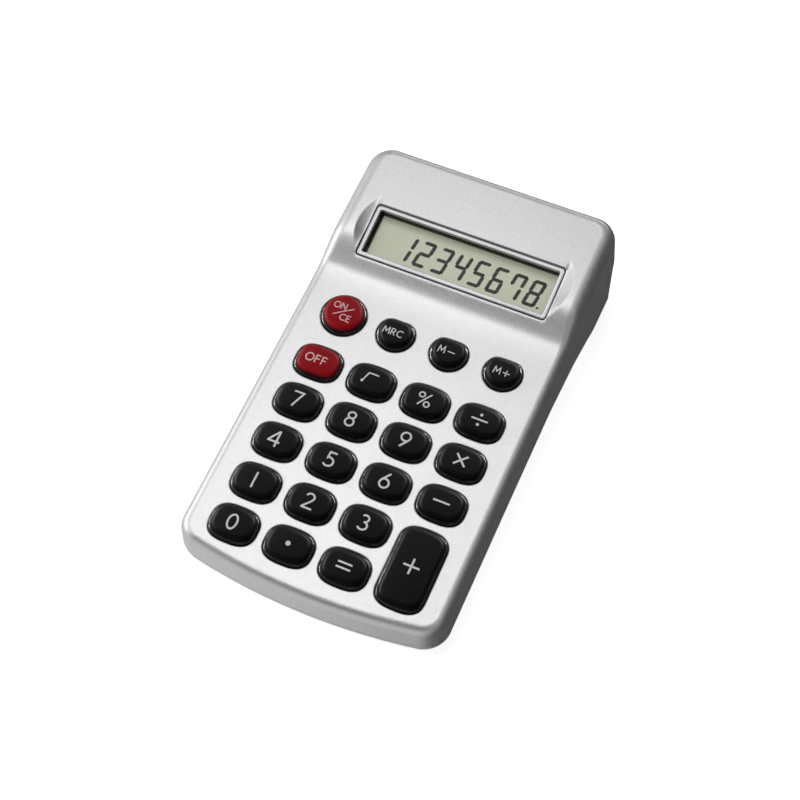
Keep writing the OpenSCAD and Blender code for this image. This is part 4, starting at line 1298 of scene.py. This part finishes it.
keptNodes = {  # CAD pieces that stay as they are, with their finish
    "display_window": "pane", "display_holder": "black", "front_polariser": "lcd", "front_glass": "glass",
    "rear_glass": "glass", "reflector": "reflector", "contact_strip": "pink", "main_board": "board",
    "chip_blob": "epoxy", "board_parts": "tan", "key_mat": "silicone", "carbon_pills": "carbon", "cell_can": "jacket",
    "cell_cap": "nickel", "positive_contact": "nickel", "negative_contact": "nickel", "negative_spring": "spring",
    "positive_lead": "leadRed", "negative_lead": "leadBlack", "board_screws": "steel",
}
for name, finishName in keptNodes.items():
    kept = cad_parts[name]
    kept.data.materials.clear()
    kept.data.materials.append(finishes[finishName])

print("case")
makeUpperCase(finishes["silver"])
makeLowerCase(finishes["silver"])
makeDoor(finishes["grey"])
print("keys")
for key in keyPlan:
    red = key in ("on_ce", "off")
    makeKey(key, finishes["keyRed" if red else "keyBlack"])
    makeLegend(key, finishes["printPink" if red else "printSilver"])
print("display")
makeDisplayFrame(finishes["frame"])
makeDigits(finishes["digit"])
print("screws and feet")
makeCaseScrews(finishes["steel"])
makeFeet(finishes["rubber"])


# Stage, lights and camera

stage = {"floor": 3.0, "below": -0.00002, "tone": 0.9, "glow": 0.72, "world": 0.8}
dimmed = (  # directions in which the world is darker: the direction, its tone, and where the change starts and ends
    ((0.87, 0.35, -0.35), 0.02, -0.1, 0.5),
    ((0.1, 0.95, 0.25), 0.3, 0.3, 0.9),
    ((-0.15, -0.5, 0.85), 0.08, 0.7, 0.95),
)
softBoxes = [  # name, place, aim, width, height, power, whether it only glints on the keys
    ("overhead", (-0.18, 0.08, 0.74), (0, 0, 0), 0.50, 0.32, 1.35, False),
    ("rear", (0.00, 0.75, 0.30), (0, 0, 0), 0.70, 0.20, 0.8, False),
    ("left", (-0.74, -0.05, 0.40), (0, 0, 0), 0.60, 0.36, 2.2, False),
    ("rearGlint", (0.22, 0.66, 0.36), (0, 0, 0), 0.55, 0.09, 20.0, True),
    ("leftGlint", (-0.70, 0.05, 0.30), (0, 0, 0), 0.55, 0.09, 20.0, True),
]
view = {
    "spot": (78.58, -192.14, 313.43), "turn": (34.1065, -0.8399, 23.8179), "lens": 73.34, "sensor": 36.0,
    "near": 0.01, "far": 20,
}


def makeFloor():
    mesh = bpy.data.meshes.new("floor")
    n, half = 24, stage["floor"] / 2
    steps = np.linspace(-half, half, n + 1)
    points = [(x, y, stage["below"]) for y in steps for x in steps]
    faces = [(r * (n + 1) + c, r * (n + 1) + c + 1, (r + 1) * (n + 1) + c + 1, (r + 1) * (n + 1) + c)
             for r in range(n) for c in range(n)]
    mesh.from_pydata(points, [], faces)
    t = stage["tone"]
    card = moulded("floorCard", (t - 0.01,) * 3, (t + 0.01,) * 3, 0.8, grain=300, grainDepth=0.00001, blotch=8)
    shader = card.node_tree.nodes["Principled BSDF"]
    shader.inputs["Emission Color"].default_value = (1, 1, 1, 1)
    shader.inputs["Emission Strength"].default_value = stage["glow"]
    mesh.materials.append(card)
    floor = bpy.data.objects.new("floor", mesh)
    bpy.context.scene.collection.objects.link(floor)
    floor.visible_glossy = False


def makeWorld():  # white to the camera, dimmed for the lit surfaces towards a few sides
    world = bpy.data.worlds.new("studio")
    world.use_nodes = True
    tree = world.node_tree
    toward = node(tree, "TexCoord").outputs["Generated"]
    power = stage["world"]
    for way, tone, start, end in dimmed:
        along = node(tree, "VectorMath", {0: toward, 1: way}, operation="DOT_PRODUCT").outputs["Value"]
        share = spread(tree, along, 1, tone, start, end)
        power = node(tree, "Math", {0: power, 1: share}, operation="MULTIPLY").outputs[0]
    straight = node(tree, "LightPath").outputs["Is Camera Ray"]
    seen = node(tree, "Math", {0: power, 1: straight}, operation="MAXIMUM").outputs[0]
    sky = tree.nodes["Background"]
    sky.inputs["Color"].default_value = (1, 1, 1, 1)
    tree.links.new(seen, sky.inputs["Strength"])
    bpy.context.scene.world = world


def makeLights():
    caps, others = bpy.data.collections.new("caps"), bpy.data.collections.new("others")
    for key in keyPlan:
        caps.objects.link(bpy.data.objects["cap_" + key])
        others.objects.link(bpy.data.objects["cap_" + key])
    for held in others.collection_objects:
        held.light_linking.link_state = "EXCLUDE"
    for name, place, aim, w, h, power, glint in softBoxes:
        lamp = bpy.data.lights.new(name, "AREA")
        lamp.shape, lamp.size, lamp.size_y, lamp.energy = "RECTANGLE", w, h, power
        holder = bpy.data.objects.new(name, lamp)
        holder.location = place
        holder.rotation_euler = (Vector(aim) - Vector(place)).to_track_quat("-Z", "Y").to_euler()
        bpy.context.scene.collection.objects.link(holder)
        holder.light_linking.receiver_collection = caps if glint else others
        holder.visible_diffuse = not glint


def makeCamera():
    lens = bpy.data.cameras.new("camera")
    lens.lens, lens.sensor_width = view["lens"], view["sensor"]
    lens.clip_start, lens.clip_end = view["near"], view["far"]
    holder = bpy.data.objects.new("camera", lens)
    holder.location = Vector(view["spot"]) * mm
    holder.rotation_euler = [radians(a) for a in view["turn"]]
    bpy.context.scene.collection.objects.link(holder)
    bpy.context.scene.camera = holder


print("stage")
makeFloor()
makeWorld()
makeLights()
makeCamera()
bpy.context.scene.view_settings.view_transform = "Standard"
